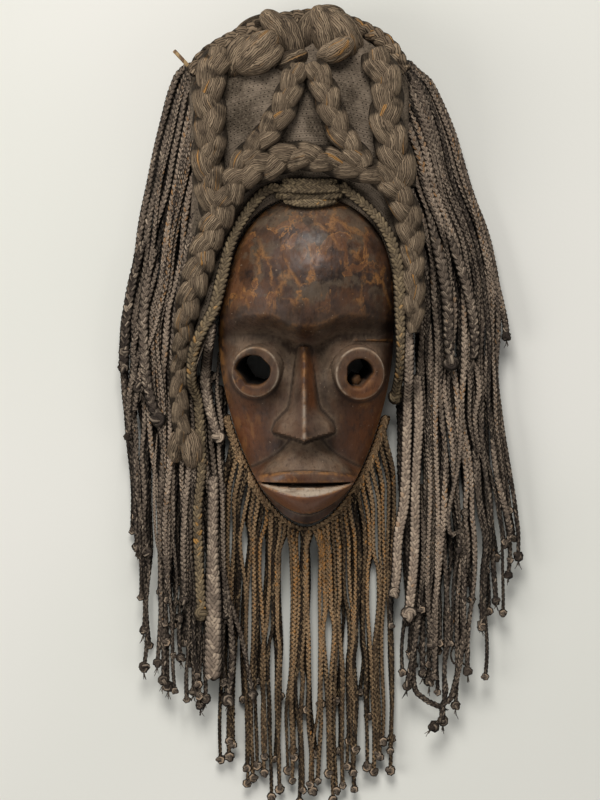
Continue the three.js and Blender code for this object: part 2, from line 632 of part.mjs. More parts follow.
function addBeard() {
  const { count, left, right, radius, lowest, rows } = BEARD;
  for (let i = 0; i < count; i += 1) {
    const x = THREE.MathUtils.lerp(left, right, i / (count - 1));
    const centred = (i - (count - 1) / 2) / count;
    const end = lowest + BEARD_HEM.rise * centred ** 2 + BEARD_HEM.wave * (1 + Math.sin(BEARD_HEM.waveStep * i));
    const points = [];
    for (let k = 0; k <= rows; k += 1) {
      const share = k / rows;
      const z = radius + 0.2 + (JAW_CORD.height - radius) * (1 - smoothStep(share, 0, 0.35));
      points.push([x, THREE.MathUtils.lerp(beardRootY(x), end, share), z]);
    }
    const section = { width: 2 * radius, height: 2 * radius, sides: 5, step: LANE_RINGS_EVERY };
    addMesh(`beard_braid_${String(i + 1).padStart(2, "0")}`, rope(points, section), beardCotton);
  }
}

const face = addMesh("face", toGeometry(faceSolid()), wood);
supports.push(face);
const woodKeepOut = woodBlock(GAP);
const capHollow = capDome(-CAP.wall, -CAP.wall, 0, [0, 0.32, 0.75, 1], CAP.steps / 2);
const cap = capDome(0, 0, 0, CAP_ACROSS, CAP.steps).subtract(capHollow).subtract(woodKeepOut);
supports.push(addMesh("cap", toGeometry(cap), capCotton));
keepOuts.push(woodKeepOut);
for (const slide of [0, -GAP]) {
  keepOuts.push(capDome(GAP, GAP, slide, CAP_ACROSS, CAP.steps));
}

const leftHair = hairSide(LEFT_EDGE, 1, LEFT_WALL_X, 0);
const rightHair = hairSide(RIGHT_EDGE, -1, RIGHT_WALL_X, RIGHT_FLARE.extra);
addMat(leftHair, "left_hair_mat", LEFT_ENDS, LEFT_INNER);
addMat(rightHair, "right_hair_mat", RIGHT_ENDS, RIGHT_INNER);
addBraids(leftHair, "left", LEFT_ENDS);
addBraids(rightHair, "right", RIGHT_ENDS);
addBeard();
addMesh("jaw_cord", rope(jawCordPoints(), { width: 6.4, height: 6.4, sides: 5, step: 11 }), beardCotton);

addRope("left_rim_cord", [
  [-21, 133], [-33, 127], [-47, 109], [-57, 88], [-63, 64.5], [-69, 41],
  [-77, 27], [-84, 10], [-86, -13], [-82, -26], [-80, -51], [-79, -80], [-82, -110], [-81, -150], [-79, -196],
], { width: 9, height: 8, sides: 5, step: 20, shape: KNOTTED_END }, plaitCotton);
addRope("right_rim_cord", [
  [26, 133.5], [47, 116], [59, 101], [66, 84], [69.5, 62], [70, 41], [70.5, 19], [70, -4], [66.5, -34],
], { width: 9, height: 9, sides: 5, step: 15, shape: KNOTTED_END }, plaitCotton);
addRope("arch_plait", [
  [-91.5, -71], [-92, -56], [-95, -37], [-95.5, -11], [-92, 19], [-88, 44], [-81, 68], [-75, 88], [-68, 103],
  [-60, 120], [-50, 138], [-31, 147], [-10, 154], [12, 152], [30, 147], [52, 142], [66, 130],
  [76, 112], [80, 92, 44], [82, 66, 41], [83, 44, 37], [83, 24, 32],
], { width: 19, height: 15, sides: 5, step: 15, lobes: 0.06, shape: ARCH_SHAPE }, plaitCotton);
const thin = { width: 8, height: 7.5, sides: 5, step: 18, shape: KNOTTED_END };
addRope("left_inner_plait", [[-70, 31], [-75, 2], [-76, -18], [-70, -44], [-65.5, -59]], thin, plaitCotton);
addRope("right_inner_plait", [
  [76.5, 27], [77, -20], [76, -64], [74.5, -103], [70, -129], [68.5, -160], [66.6, -180],
], thin, plaitCotton);
addRope("right_side_plait", [
  [84, -8], [85.5, -40], [83, -90], [82, -142], [77.5, -197],
], thin, plaitCotton);
addRope("left_flat_plait", [
  [-70, -84], [-70.5, -140], [-70, -190], [-70.5, -236],
], { width: 11, height: 7, sides: 6, step: 13, lobes: 0.1 }, braidCotton);

const broad = { width: 24, height: 17, sides: 6, step: 13, lobes: 0.1 };
addRope("crown_plait", [
  [-86, 219], [-72, 234.5], [-46, 249], [-13, 259.5], [21, 260.5], [57, 244], [74, 220],
], { width: 13, height: 12, sides: 5, step: 11, lobes: 0.12 }, plaitCotton);
addRope("left_outer_plait", [[-63, 234], [-72, 208], [-71, 173], [-73, 148], [-69, 126]], broad, plaitCotton);
addRope("right_outer_plait", [[50, 232], [60, 207], [59, 181], [64, 162], [70, 143]], broad, plaitCotton);
const vee = { width: 19, height: 15, sides: 6, step: 9, lobes: 0.1 };
addRope("left_vee_plait", [[-9, 219], [-17, 197], [-31, 172], [-42, 156]], vee, plaitCotton);
addRope("right_vee_plait", [[11, 219], [17, 202], [22, 181], [31, 163]], vee, plaitCotton);
addRested("left_bun", (margin) => knob(-31, 231, 48, 34, 26, 0.5, margin), plaitCotton);
addRested("right_bun", (margin) => knob(17, 239, 32, 40, 26, 0, margin), plaitCotton);
addRested("forelock", (margin) => knob(3, 127, 46, 22, 20, 0, margin), plaitCotton);
addRested("reed_stub", (margin) => rope([[-86, 222, 38], [-99, 236, 38]], {
  width: 3, height: 3, sides: 6, step: 6,
}, margin), reed);

// The origin is the middle of the mask's box, on the ground.
const box = new THREE.Box3().setFromObject(mask);
const centre = box.getCenter(new THREE.Vector3());
mask.position.set(-centre.x, -centre.y, -box.min.z);

export default mask;
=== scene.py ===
"""The looks of a carved wooden race mask with a knitted cap, thick plaits and thin hanging braids.

The mask lies on its back and the camera looks straight down on it. Sizes are millimetres from the
middle of the face: +X to the viewer's right, +Y to the crown, +Z up from the ground. They become
metres of the frame only when a mesh is made.
"""

import logging
import math
import random
from collections.abc import Sequence
from dataclasses import dataclass
from enum import Enum

import bpy
import numpy as np
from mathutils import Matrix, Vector, noise
from mathutils.bvhtree import BVHTree


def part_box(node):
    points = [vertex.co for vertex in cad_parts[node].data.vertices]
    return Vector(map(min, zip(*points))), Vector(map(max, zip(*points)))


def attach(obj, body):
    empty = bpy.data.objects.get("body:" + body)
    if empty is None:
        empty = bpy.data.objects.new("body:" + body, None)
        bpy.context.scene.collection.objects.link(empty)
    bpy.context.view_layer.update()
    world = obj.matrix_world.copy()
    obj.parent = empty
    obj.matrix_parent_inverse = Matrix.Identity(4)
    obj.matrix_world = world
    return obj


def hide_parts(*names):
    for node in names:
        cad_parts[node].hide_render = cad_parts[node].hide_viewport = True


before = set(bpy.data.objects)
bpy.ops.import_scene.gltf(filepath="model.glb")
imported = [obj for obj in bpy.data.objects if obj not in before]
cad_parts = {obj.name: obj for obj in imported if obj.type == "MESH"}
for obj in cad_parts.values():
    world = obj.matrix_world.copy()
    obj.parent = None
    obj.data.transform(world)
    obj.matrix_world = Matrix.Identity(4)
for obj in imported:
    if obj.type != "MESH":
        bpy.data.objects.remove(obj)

LOG = logging.getLogger("mask")
MM = 0.001
SEED = 11
BODY = "root"
FACE_MIDDLE_Y = 3.5
GROUND_GAP = 0.4
TURN = 2 * math.pi
# Where a wave may start, in radians.
PHASES = (0, 6.28)
# Millimetres between the samples of a rope's or a braid's line.
SPACING = 3.0
CURVE_STEPS = 24

Colour = tuple[float, float, float, float]
Points = Sequence[Sequence[float]]
Array = np.ndarray
Piece = bpy.types.Object


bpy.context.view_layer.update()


def frame_shift() -> Array:
    """Metres from the middle of the face to the frame's origin."""
    low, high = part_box("face")
    return np.array([(low.x + high.x) / 2, (low.y + high.y) / 2 - FACE_MIDDLE_Y * MM, 0.0])


SHIFT = frame_shift()


def paint(red: int, green: int, blue: int) -> Colour:
    """A screen colour from 0 to 255 as the linear colour that a shader takes."""
    linear = [((c / 255 + 0.055) / 1.055) ** 2.4 if c > 10 else c / 3294 for c in (red, green, blue)]
    return (linear[0], linear[1], linear[2], 1.0)


# Number helpers


def ramp(value: Array, low: float, high: float) -> Array:
    """0 below low, 1 above high, with a smooth ramp between."""
    share = np.clip((value - low) / (high - low), 0, 1)
    return share * share * (3 - 2 * share)


def soft_max(a: Array, b: Array, width: float) -> Array:
    """The larger of two heights with a rounded junction."""
    share = np.clip(0.5 + 0.5 * (a - b) / width, 0, 1)
    return b + (a - b) * share + width * share * (1 - share)


def bell(value: Array, middle: float, width: float) -> Array:
    """A smooth bump of height 1."""
    return np.exp(-(((value - middle) / width) ** 2))


def through(knots: Array, steps: int) -> Array:
    """A smooth line through knots, with the same number of samples between every two."""
    ends = np.vstack([2 * knots[0] - knots[1], knots, 2 * knots[-1] - knots[-2]])
    fine = []
    for i in range(1, len(ends) - 2):
        a, b, c, d = ends[i - 1 : i + 3]
        share = np.linspace(0, 1, steps, endpoint=False)[:, None]
        fine.append(
            b + share * (c - a) / 2 + share**2 * (a - 2.5 * b + 2 * c - d / 2)
            + share**3 * (1.5 * (b - c) + (d - a) / 2)
        )
    return np.vstack([*fine, knots[-1:]])


def spline(points: Points, spacing: float) -> Array:
    """A smooth line through points, sampled evenly.

    Args:
        points: The points that it passes through, of two or three numbers each.
        spacing: The distance between samples.

    Returns:
        The samples, one row each.
    """
    fine = through(np.asarray(points, float), CURVE_STEPS)
    length = np.concatenate([[0], np.cumsum(np.linalg.norm(np.diff(fine, axis=0), axis=1))])
    even = np.linspace(0, length[-1], max(2, round(length[-1] / spacing) + 1))
    return np.column_stack([np.interp(even, length, fine[:, k]) for k in range(fine.shape[1])])


# Objects


def rotated(points: Array, angle: float, first: int, second: int) -> Array:
    """Points turned about the middle, from their first axis towards their second."""
    c, s = math.cos(angle), math.sin(angle)
    matrix = np.eye(3)
    matrix[first, first] = matrix[second, second] = c
    matrix[first, second], matrix[second, first] = s, -s
    return points @ matrix


def placed(points: Array) -> Array:
    """Millimetres from the middle of the face as metres in the frame."""
    return np.asarray(points, float) * MM + SHIFT


def add_object(name: str, points: Array, faces: list, edges: list | None = None) -> Piece:
    """A new object at the origin.

    Args:
        name: The piece's name.
        points: Its points in millimetres.
        faces: Its faces as lists of point numbers.
        edges: Its loose edges.

    Returns:
        The object.
    """
    mesh = bpy.data.meshes.new(name)
    mesh.from_pydata(placed(points).tolist(), edges or [], faces)
    made = bpy.data.objects.new(name, mesh)
    bpy.context.scene.collection.objects.link(made)
    return made


def set_attribute(made: Piece, name: str, values: Array) -> None:
    """Stores one number for each point of a mesh."""
    layer = made.data.attributes.new(name, "FLOAT", "POINT")
    layer.data.foreach_set("value", np.asarray(values, np.float32))


def points_of(made: Piece) -> Array:
    """A mesh's points in millimetres from the middle of the face."""
    flat = np.empty(len(made.data.vertices) * 3)
    made.data.vertices.foreach_get("co", flat)
    return (flat.reshape(-1, 3) - SHIFT) / MM


def bake(made: Piece) -> Piece:
    """Turns the object's modifiers into its mesh."""
    graph = bpy.context.evaluated_depsgraph_get()
    mesh = bpy.data.meshes.new_from_object(made.evaluated_get(graph))
    made.modifiers.clear()
    made.data = mesh
    mesh.name = made.name
    return made


def joined(name: str, pieces: list[Piece]) -> Piece:
    """Several objects as one piece."""
    first = pieces[0]
    if len(pieces) > 1:
        with bpy.context.temp_override(active_object=first, selected_editable_objects=pieces):
            bpy.ops.object.join()
    first.name = name
    return first


def present(made: Piece, slot: str, *nodes: str) -> Piece:
    """Hands a finished piece to the frame.

    Args:
        made: The piece.
        slot: The record's material slot; not used.
        nodes: The CAD nodes that it stands for.

    Returns:
        The piece.
    """
    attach(made, BODY)
    if nodes:
        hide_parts(*nodes)
    made.data.calc_loop_triangles()
    LOG.info("%s: %d triangles", made.name, len(made.data.loop_triangles))
    return made


def grid_faces(rows: int, columns: int, start: int = 0) -> list[tuple[int, int, int, int]]:
    """Faces of a grid whose points run row by row, facing up when X and Y both rise."""
    corners = (0, 1, columns + 1, columns)
    return [
        tuple(start + r * columns + c + corner for corner in corners)
        for r in range(rows - 1)
        for c in range(columns - 1)
    ]


def grid_border(rows: int, columns: int) -> list[int]:
    """The points round a grid, in the order that faces down."""
    bottom = list(range(columns))
    right = [r * columns + columns - 1 for r in range(1, rows)]
    top = [(rows - 1) * columns + c for c in range(columns - 2, -1, -1)]
    left = [r * columns for r in range(rows - 2, 0, -1)]
    return list(reversed(bottom + right + top + left))


def hollows(made: Piece, rounds: int) -> Array:
    """How far each point lies below the mean of its neighbourhood, in millimetres.

    Args:
        made: A mesh object.
        rounds: How often the neighbours are averaged, which sets the size of what is found.

    Returns:
        Positive numbers in hollows and negative ones on edges.
    """
    mesh = made.data
    start = points_of(made)
    ends = np.empty(len(mesh.edges) * 2, np.int64)
    mesh.edges.foreach_get("vertices", ends)
    first, second = ends.reshape(-1, 2).T
    weight = np.bincount(first, minlength=len(start)) + np.bincount(second, minlength=len(start))
    moved = start.copy()
    for _ in range(rounds):
        total = np.zeros_like(moved)
        for axis in range(3):
            total[:, axis] += np.bincount(first, moved[second, axis], len(start))
            total[:, axis] += np.bincount(second, moved[first, axis], len(start))
        moved = 0.5 * moved + 0.5 * total / np.maximum(weight, 1)[:, None]
    normals = np.empty(len(start) * 3)
    mesh.vertices.foreach_get("normal", normals)
    return np.einsum("ij,ij->i", moved - start, normals.reshape(-1, 3))


# Node trees in Python


class Wire:
    """A node's socket that Python arithmetic joins to new Math nodes."""

    def __init__(self, kit: "Kit", socket: bpy.types.NodeSocket) -> None:
        """Wraps one output socket."""
        self.kit = kit
        self.socket = socket

    def math(self, operation: str, *others: "Wire | float") -> "Wire":
        """The result of one Math node on this value and others."""
        return self.kit.math(operation, self, *others)

    def __add__(self, other: "Wire | float") -> "Wire":
        """This value plus another."""
        return self.math("ADD", other)

    __radd__ = __add__

    def __sub__(self, other: "Wire | float") -> "Wire":
        """This value less another."""
        return self.math("SUBTRACT", other)

    def __rsub__(self, other: float) -> "Wire":
        """Another value less this one."""
        return self.kit.math("SUBTRACT", other, self)

    def __mul__(self, other: "Wire | float") -> "Wire":
        """This value times another."""
        return self.math("MULTIPLY", other)

    __rmul__ = __mul__

    def __truediv__(self, other: "Wire | float") -> "Wire":
        """This value divided by another."""
        return self.math("DIVIDE", other)


class Kit:
    """Adds nodes to one tree."""

    def __init__(self, tree: bpy.types.NodeTree) -> None:
        """Works on the given tree."""
        self.tree = tree

    def node(self, kind: str, settings: dict | None = None, inputs: dict | None = None) -> bpy.types.Node:
        """Adds one node.

        Args:
            kind: The node's type.
            settings: Its properties, set first.
            inputs: Values or wires for its sockets, by name or number.

        Returns:
            The node.
        """
        made = self.tree.nodes.new(kind)
        for name, value in (settings or {}).items():
            setattr(made, name, value)
        for key, value in (inputs or {}).items():
            self.feed(made.inputs[key], value)
        return made

    def feed(self, socket: bpy.types.NodeSocket, value: Wire | float | Sequence[float] | str) -> None:
        """Gives a socket a wire or a plain value."""
        if isinstance(value, Wire):
            self.tree.links.new(value.socket, socket)
        else:
            socket.default_value = value

    def wire(self, kind: str, settings: dict | None = None, inputs: dict | None = None,
             output: int | str = 0) -> Wire:
        """Adds one node and wraps one of its outputs."""
        return Wire(self, self.node(kind, settings, inputs).outputs[output])

    def math(self, operation: str, *values: Wire | float) -> Wire:
        """One Math node on up to three values."""
        return self.wire("ShaderNodeMath", {"operation": operation}, dict(enumerate(values)))

    def vector(self, operation: str, *values: Wire | Sequence[float]) -> Wire:
        """One Vector Math node on vectors."""
        return self.wire("ShaderNodeVectorMath", {"operation": operation}, dict(enumerate(values)))

    def combined(self, x: Wire | float, y: Wire | float, z: Wire | float) -> Wire:
        """Three numbers as a vector."""
        return self.wire("ShaderNodeCombineXYZ", None, {"X": x, "Y": y, "Z": z})

    def scaled(self, vector: Wire, factor: Wire | float) -> Wire:
        """A vector times a number."""
        return self.wire("ShaderNodeVectorMath", {"operation": "SCALE"}, {0: vector, "Scale": factor})


class Finish(Kit):
    """A material that is being made, with one Principled shader."""

    def __init__(self, name: str, base: Colour) -> None:
        """Starts a material of one colour."""
        self.material = bpy.data.materials.new(name)
        self.material.use_nodes = True
        super().__init__(self.material.node_tree)
        self.shader = self.tree.nodes["Principled BSDF"]
        self.colour: Wire | Colour = base

    def attribute(self, name: str) -> Wire:
        """One number that the mesh stores for each point."""
        return self.wire("ShaderNodeAttribute", {"attribute_name": name}, output="Fac")

    def place(self, stretch: Sequence[float] = (1, 1, 1)) -> Wire:
        """The point on the piece, with each axis stretched."""
        place = self.wire("ShaderNodeTexCoord", output="Object")
        return self.vector("MULTIPLY", place, tuple(stretch))

    def noise(self, size: float, detail: float = 3, stretch: Sequence[float] = (1, 1, 1),
              distortion: float = 0, vector: Wire | None = None, roughness: float = 0.5) -> Wire:
        """Noise from 0 to 1.

        Args:
            size: The size of one blot in millimetres, or in the vector's own units.
            detail: How many finer layers lie over it.
            stretch: How the axes are stretched first.
            distortion: How far the noise bends itself.
            vector: Where it is read, or None for the point on the piece.
            roughness: How strong the finer layers are.

        Returns:
            The noise value.
        """
        scale = 1 / size if vector else 1 / (size * MM)
        inputs = {"Scale": scale, "Detail": detail, "Distortion": distortion, "Roughness": roughness}
        inputs["Vector"] = vector or self.place(stretch)
        return self.wire("ShaderNodeTexNoise", None, inputs)

    def spread(self, value: Wire) -> Wire:
        """A number from 0 to 1 as a sideways vector about nothing."""
        return self.combined(value - 0.5, 0.5 - value, 0.0)

    def band(self, value: Wire, low: float, high: float) -> Wire:
        """0 below low and 1 above high, or the other way round where low is the larger."""
        inputs = {"Value": value, "From Min": low, "From Max": high}
        return self.wire("ShaderNodeMapRange", {"interpolation_type": "SMOOTHSTEP"}, inputs)

    def coat(self, factor: Wire | float, colour: Colour) -> None:
        """Lays a colour over what is there, as thickly as the factor says."""
        inputs = {0: factor, 6: self.colour, 7: colour}
        self.colour = self.wire("ShaderNodeMix", {"data_type": "RGBA"}, inputs, output=2)

    def finished(self, roughness: Wire | float, height: Wire, depth: float,
                 **values: Wire | float) -> bpy.types.Material:
        """Joins the results to the shader.

        Args:
            roughness: The roughness.
            height: The height of the fine relief, from 0 to 1.
            depth: The depth of that relief in millimetres.
            values: What further shader sockets get, with spaces as underscores.

        Returns:
            The material.
        """
        bump = self.wire("ShaderNodeBump", None, {"Height": height, "Distance": depth * MM, "Strength": 1.0})
        results = {"Base_Color": self.colour, "Roughness": roughness, "Normal": bump, **values}
        for name, value in results.items():
            self.feed(self.shader.inputs[name.replace("_", " ")], value)
        return self.material


@dataclass(frozen=True)
class CarvedWoodFinish:
    """Old dark wood: a mauve brown patina worn through to amber on the forehead, with dusty hollows. Shade is
    painted under the brow, in creases, under the eye tubes, on the nose's right flank and very dark in the
    eye holes; highlights are painted on the lower lip's bevel, the eye tubes' rims, the ledge and the nose
    ridge.
    """

    deep: Colour = paint(32, 19, 11)
    mauve: Colour = paint(74, 53, 41)
    brown: Colour = paint(84, 52, 28)
    amber: Colour = paint(104, 66, 38)
    orange: Colour = paint(144, 98, 52)
    red: Colour = paint(98, 54, 22)
    dust_and_highlight: Colour = paint(140, 119, 97)
    lip: Colour = paint(112, 70, 46)
    shade: Colour = paint(48, 35, 28)
    olive: Colour = paint(88, 74, 58)
    pale: Colour = paint(186, 168, 146)
    # Painted shade: the very dark colour laid inside the eye holes.
    shade_black: Colour = (0.001, 0.001, 0.001, 1)
    cell: float = 24.0
    relief: float = 0.45

    def make(self) -> bpy.types.Material:
        """The material."""
        kit = Finish("patinated_wood", self.deep)
        wear_and_highlight, dust_and_highlight, lip, red_and_nose_shade, fore = (kit.attribute(n) for n in ("wear_and_highlight", "dust_and_highlight", "lip", "red_and_nose_shade", "fore"))
        fine = kit.noise(2.2, 6, (1, 0.6, 1), roughness=0.7)
        kit.coat(kit.band(kit.noise(34, 5, roughness=0.6), 0.36, 0.64), self.mauve)
        broad = kit.noise(27, 8, (1.35, 0.8, 1), 0.4, roughness=0.6)
        kit.coat(kit.band(broad + fine * 0.1, 0.5, 0.64) * (0.35 + fore * 0.3), self.brown)
        patch = kit.noise(22, 7, (1.2, 0.9, 1), 0.8, roughness=0.58)
        edge = patch + fine * 0.12
        kit.coat(kit.band(kit.noise(19, 6, roughness=0.65), 0.48, 0.58) * fore * 0.6, self.olive)
        kit.coat(kit.band(edge, 0.59, 0.66) * fore * 0.6, self.amber)
        rim = kit.band(kit.math("ABSOLUTE", edge - 0.62), 0.03, 0.005)
        rim = rim * kit.band(kit.noise(15, 3), 0.42, 0.58)
        kit.coat(rim * fore * 0.75, self.orange)
        bend = kit.noise(9, 4, roughness=0.6)
        place = kit.vector("ADD", kit.place((1.3, 0.85, 0.4)), kit.scaled(kit.spread(bend), 0.016))
        cells = kit.wire("ShaderNodeTexVoronoi", {"feature": "DISTANCE_TO_EDGE"},
                         {"Vector": place, "Scale": 1 / (self.cell * MM), "Randomness": 1.0})
        veins = kit.band(cells + fine * 0.08, 0.14, 0.04) * kit.band(kit.noise(30, 3), 0.48, 0.6)
        middles = kit.band(cells + fine * 0.12, 0.2, 0.42) * kit.band(kit.noise(18, 4), 0.62, 0.42)
        kit.coat(middles * fore * 0.72, self.shade)
        kit.coat(veins * kit.band(fine, 0.3, 0.6) * fore * 0.7, self.orange)
        # Painted shade: a dark band under the forehead's overhang.
        kit.coat(kit.attribute("brow") * kit.band(fine, 0.7, 0.35) * 0.75, self.deep)
        blush = kit.band(kit.noise(12, 7, (1, 0.5, 1), roughness=0.6), 0.28, 0.52)
        # Red on the cheeks, and painted shade on the nose's right flank.
        kit.coat(red_and_nose_shade * blush * 0.95, self.red)
        streak = kit.band(kit.noise(8, 5, (1, 0.3, 1), 0.6, roughness=0.6), 0.52, 0.66)
        kit.coat(red_and_nose_shade * streak * 0.4, self.orange)
        kit.coat(lip * 0.75, self.lip)
        grains = kit.band(kit.noise(7, 8, distortion=0.3, roughness=0.65), 0.32, 0.64)
        # Dusty patches, and painted highlights where the bevel mark adds to them.
        powder_and_highlight = dust_and_highlight * (0.45 + grains * 0.55)
        kit.coat(powder_and_highlight * 0.62, self.dust_and_highlight)
        # Painted highlight: pale streaks on the lower lip's bevel, the eye tubes' rims and the nose ridge.
        painted_highlight = kit.attribute("bevel") * kit.band(kit.noise(5, 5, (0.3, 1, 1)), 0.3, 0.6)
        kit.coat(painted_highlight * 0.72, self.pale)
        # Orange on worn edges, with painted highlights on the ledge and the nose ridge.
        kit.coat(wear_and_highlight * kit.band(kit.noise(6, 5), 0.38, 0.6) * 0.8, self.orange)
        kit.coat(kit.band(kit.noise(1.7, 5, (1, 0.3, 1)), 0.52, 0.75) * 0.5, self.deep)
        # Painted shade in fine hollows and under each eye tube.
        kit.coat(kit.attribute("crease_shade") * 0.75, self.deep)
        kit.coat(kit.band(kit.noise(2.4, 2), 0.71, 0.75) * 0.6, self.dust_and_highlight)
        # Painted shade: the eye holes' walls painted very dark.
        kit.coat(kit.attribute("hole_shade") * 0.95, self.shade_black)
        roughness = 0.44 + powder_and_highlight * 0.3 + kit.noise(9, 4) * 0.2 - lip * 0.2
        relief = kit.noise(1.4, 5, (1, 0.3, 1)) * 0.6 + kit.noise(6, 4) * 0.9
        polish = lip * 0.5 + fore * kit.band(kit.noise(16, 4), 0.4, 0.6) * 0.22
        return kit.finished(roughness, relief, self.relief, Specular_IOR_Level=0.24, Coat_Weight=polish,
                            Coat_Roughness=0.3)


@dataclass(frozen=True)
class YarnFinish:
    """Handspun cotton that has gone dark with smoke and handling, each yarn a little lighter or darker. Shade
    is painted at each strand's sides, where a strand runs under another and in the grooves between yarns.
    """

    name: str
    dark: Colour
    middle: Colour
    light: Colour
    gold: Colour
    gold_share: float = 0.5
    groove_shade: float = 0.5
    side_shade: float = 0.9
    edge_from: float = 0.95
    edge_to: float = 0.2
    dip_shade: float = 0.8
    contrast: float = 0.5
    fuzz: float = 0.08
    wander: float = 1.6
    patches: float = 0.4
    # Painted shade: the very dark colour laid where strands meet and run under.
    shade_black: Colour = (0.0035, 0.003, 0.0025, 1)

    def make(self) -> bpy.types.Material:
        """The material."""
        kit = Finish(self.name, self.dark)
        tone, lane, turn, along = (kit.attribute(n) for n in ("tone", "lane", "turn", "along"))
        strand, over = kit.attribute("strand"), kit.attribute("over")
        seed = strand * 9 + tone * 57
        lengths = kit.combined(lane * 0.2, along * 90, seed + 5)
        fleck = kit.noise(0.9, 3, vector=lengths, roughness=0.6)
        bent = lane + (fleck - 0.5) * self.wander
        groove = kit.band(kit.math("ABSOLUTE", kit.math("FRACT", bent) - 0.5), 0.26, 0.45)
        whole = kit.math("FLOOR", bent) * 3.7
        own = kit.combined(whole, along * 60, seed)
        yarn = kit.noise(1.0, 1, vector=own)
        kit.coat(kit.band(tone * 0.8 + fleck * 0.45, 0.18, 0.95), self.middle)
        kit.coat(kit.band(yarn + tone * 0.1, 0.46, 0.74) * self.contrast, self.light)
        share = 0.72 - 0.16 * self.gold_share
        far = kit.combined(whole * 0.3, along * 16, seed + 31)
        golden = kit.band(kit.noise(1.0, 2, vector=far) + tone * 0.2 - 0.08, share, share + 0.07)
        kit.coat(golden * kit.band(yarn, 0.36, 0.56) * 0.8, self.gold)
        # Painted shade in the grooves between yarns.
        kit.coat(groove * self.groove_shade, self.dark)
        kit.coat(kit.band(kit.noise(11, 4), 0.5, 0.7) * self.patches, self.dark)
        # Painted shade at each strand's sides, where it meets its neighbours.
        kit.coat(kit.band(turn, self.edge_from, self.edge_to) * self.side_shade, self.shade_black)
        # Painted shade where a strand runs under the others.
        kit.coat(kit.band(over, 0.4, -0.1) * self.dip_shade, self.shade_black)
        fibre = kit.noise(0.6, 3)
        kit.coat(kit.band(fibre, 0.5, 0.75) * self.fuzz, self.light)
        return kit.finished(0.94, fibre * 0.5 + (1 - groove) * 0.7, 0.5, Specular_IOR_Level=0.12)


@dataclass(frozen=True)
class KnitFinish:
    """Tight knitted cotton with a pinhole between every two stitches. Each pinhole is painted very dark as
    the shade in it, and the furrows between rows are painted darker as shade.
    """

    dark: Colour = paint(72, 62, 51)
    middle: Colour = paint(126, 111, 95)
    light: Colour = paint(142, 127, 107)
    # Painted shade: the very dark colour of the pinholes.
    hole: Colour = paint(20, 16, 12)

    def make(self) -> bpy.types.Material:
        """The material."""
        kit = Finish("knitted_cotton_cap", self.dark)
        jitter = kit.noise(9, 2) * 0.7
        course = kit.attribute("course") + jitter
        shift = kit.band(kit.math("FRACT", course * 0.5), 0.49, 0.51) * 0.5
        wale = kit.math("FRACT", kit.attribute("wale") + jitter + shift) - 0.5
        row = kit.math("FRACT", course) - 0.5
        aside = kit.math("ABSOLUTE", wale) * 2 - 1
        away = kit.math("SQRT", aside * aside + row * row * 5.2)
        pit = kit.band(away, 0.44, 0.2) * kit.band(kit.noise(5, 2), 0.36, 0.5)
        kit.coat(kit.band(kit.noise(22, 4), 0.36, 0.64), self.middle)
        kit.coat(kit.band(kit.noise(1.5, 3), 0.42, 0.7) * 0.35, self.light)
        kit.coat(kit.band(kit.noise(10, 4), 0.5, 0.68) * 0.35, self.dark)
        # Painted shade in the furrows between rows.
        furrow = kit.band(kit.math("ABSOLUTE", row), 0.3, 0.48)
        kit.coat(furrow * kit.band(kit.noise(2.4, 3), 0.35, 0.6) * 0.5, self.dark)
        # Painted shade: each pinhole painted very dark.
        kit.coat(pit * 0.9, self.hole)
        relief = kit.noise(1.3, 3) * 0.8 - pit * 0.5 - furrow * 0.3
        return kit.finished(0.95, relief, 0.6, Specular_IOR_Level=0.12)


@dataclass(frozen=True)
class ReedFinish:
    """A dry split reed."""

    pale: Colour = paint(172, 142, 96)
    brown: Colour = paint(96, 68, 42)

    def make(self) -> bpy.types.Material:
        """The material."""
        kit = Finish("dry_reed", self.pale)
        kit.coat(kit.band(kit.noise(2, 3, (1, 0.3, 1)), 0.4, 0.65), self.brown)
        return kit.finished(0.7, kit.noise(0.8, 2, (1, 0.2, 1)), 0.2)


@dataclass(frozen=True)
class GroundFinish:
    """A plain pale surface."""

    pale: Colour = paint(226, 223, 214)
    paler: Colour = paint(222, 220, 210)

    def make(self) -> bpy.types.Material:
        """The material."""
        kit = Finish("pale_ground", self.pale)
        kit.coat(kit.band(kit.noise(400, 1), 0.4, 0.6), self.paler)
        return kit.finished(0.9, kit.noise(3, 2), 0.05, Specular_IOR_Level=0.1)


class Yarn(Enum):
    """The cottons of the mask."""

    THICK = YarnFinish("plaited_cotton", paint(26, 20, 15), paint(130, 111, 90), paint(184, 160, 130),
                       paint(172, 122, 60), gold_share=0.4, groove_shade=0.85, contrast=0.42, edge_from=0.4,
                       edge_to=-0.35, wander=4.2, patches=0.62)
    CORD = YarnFinish("rim_cord_cotton", paint(38, 31, 24), paint(118, 102, 80), paint(162, 141, 108),
                      paint(182, 132, 66), gold_share=0.4, dip_shade=0.85, contrast=0.5, edge_from=0.9, edge_to=0.0)
    SIDE = YarnFinish("side_braid_cotton", paint(44, 37, 33), paint(170, 149, 129), paint(216, 193, 166),
                      paint(182, 130, 74), gold_share=0.3, dip_shade=0.8, contrast=0.5)
    BEARD = YarnFinish("beard_braid_cotton", paint(38, 30, 24), paint(166, 134, 100), paint(210, 176, 132),
                       paint(204, 140, 70), gold_share=0.45, groove_shade=0.4, dip_shade=0.85, contrast=0.5)


# Strands, plaits and cords


@dataclass
class Line:
    """A line in millimetres that strands follow, its lightness, where its plait starts and its thickness."""

    points: Array
    tone: Array | float = 0.5
    phase: float = 0.0
    swell: Array | float = 1.0


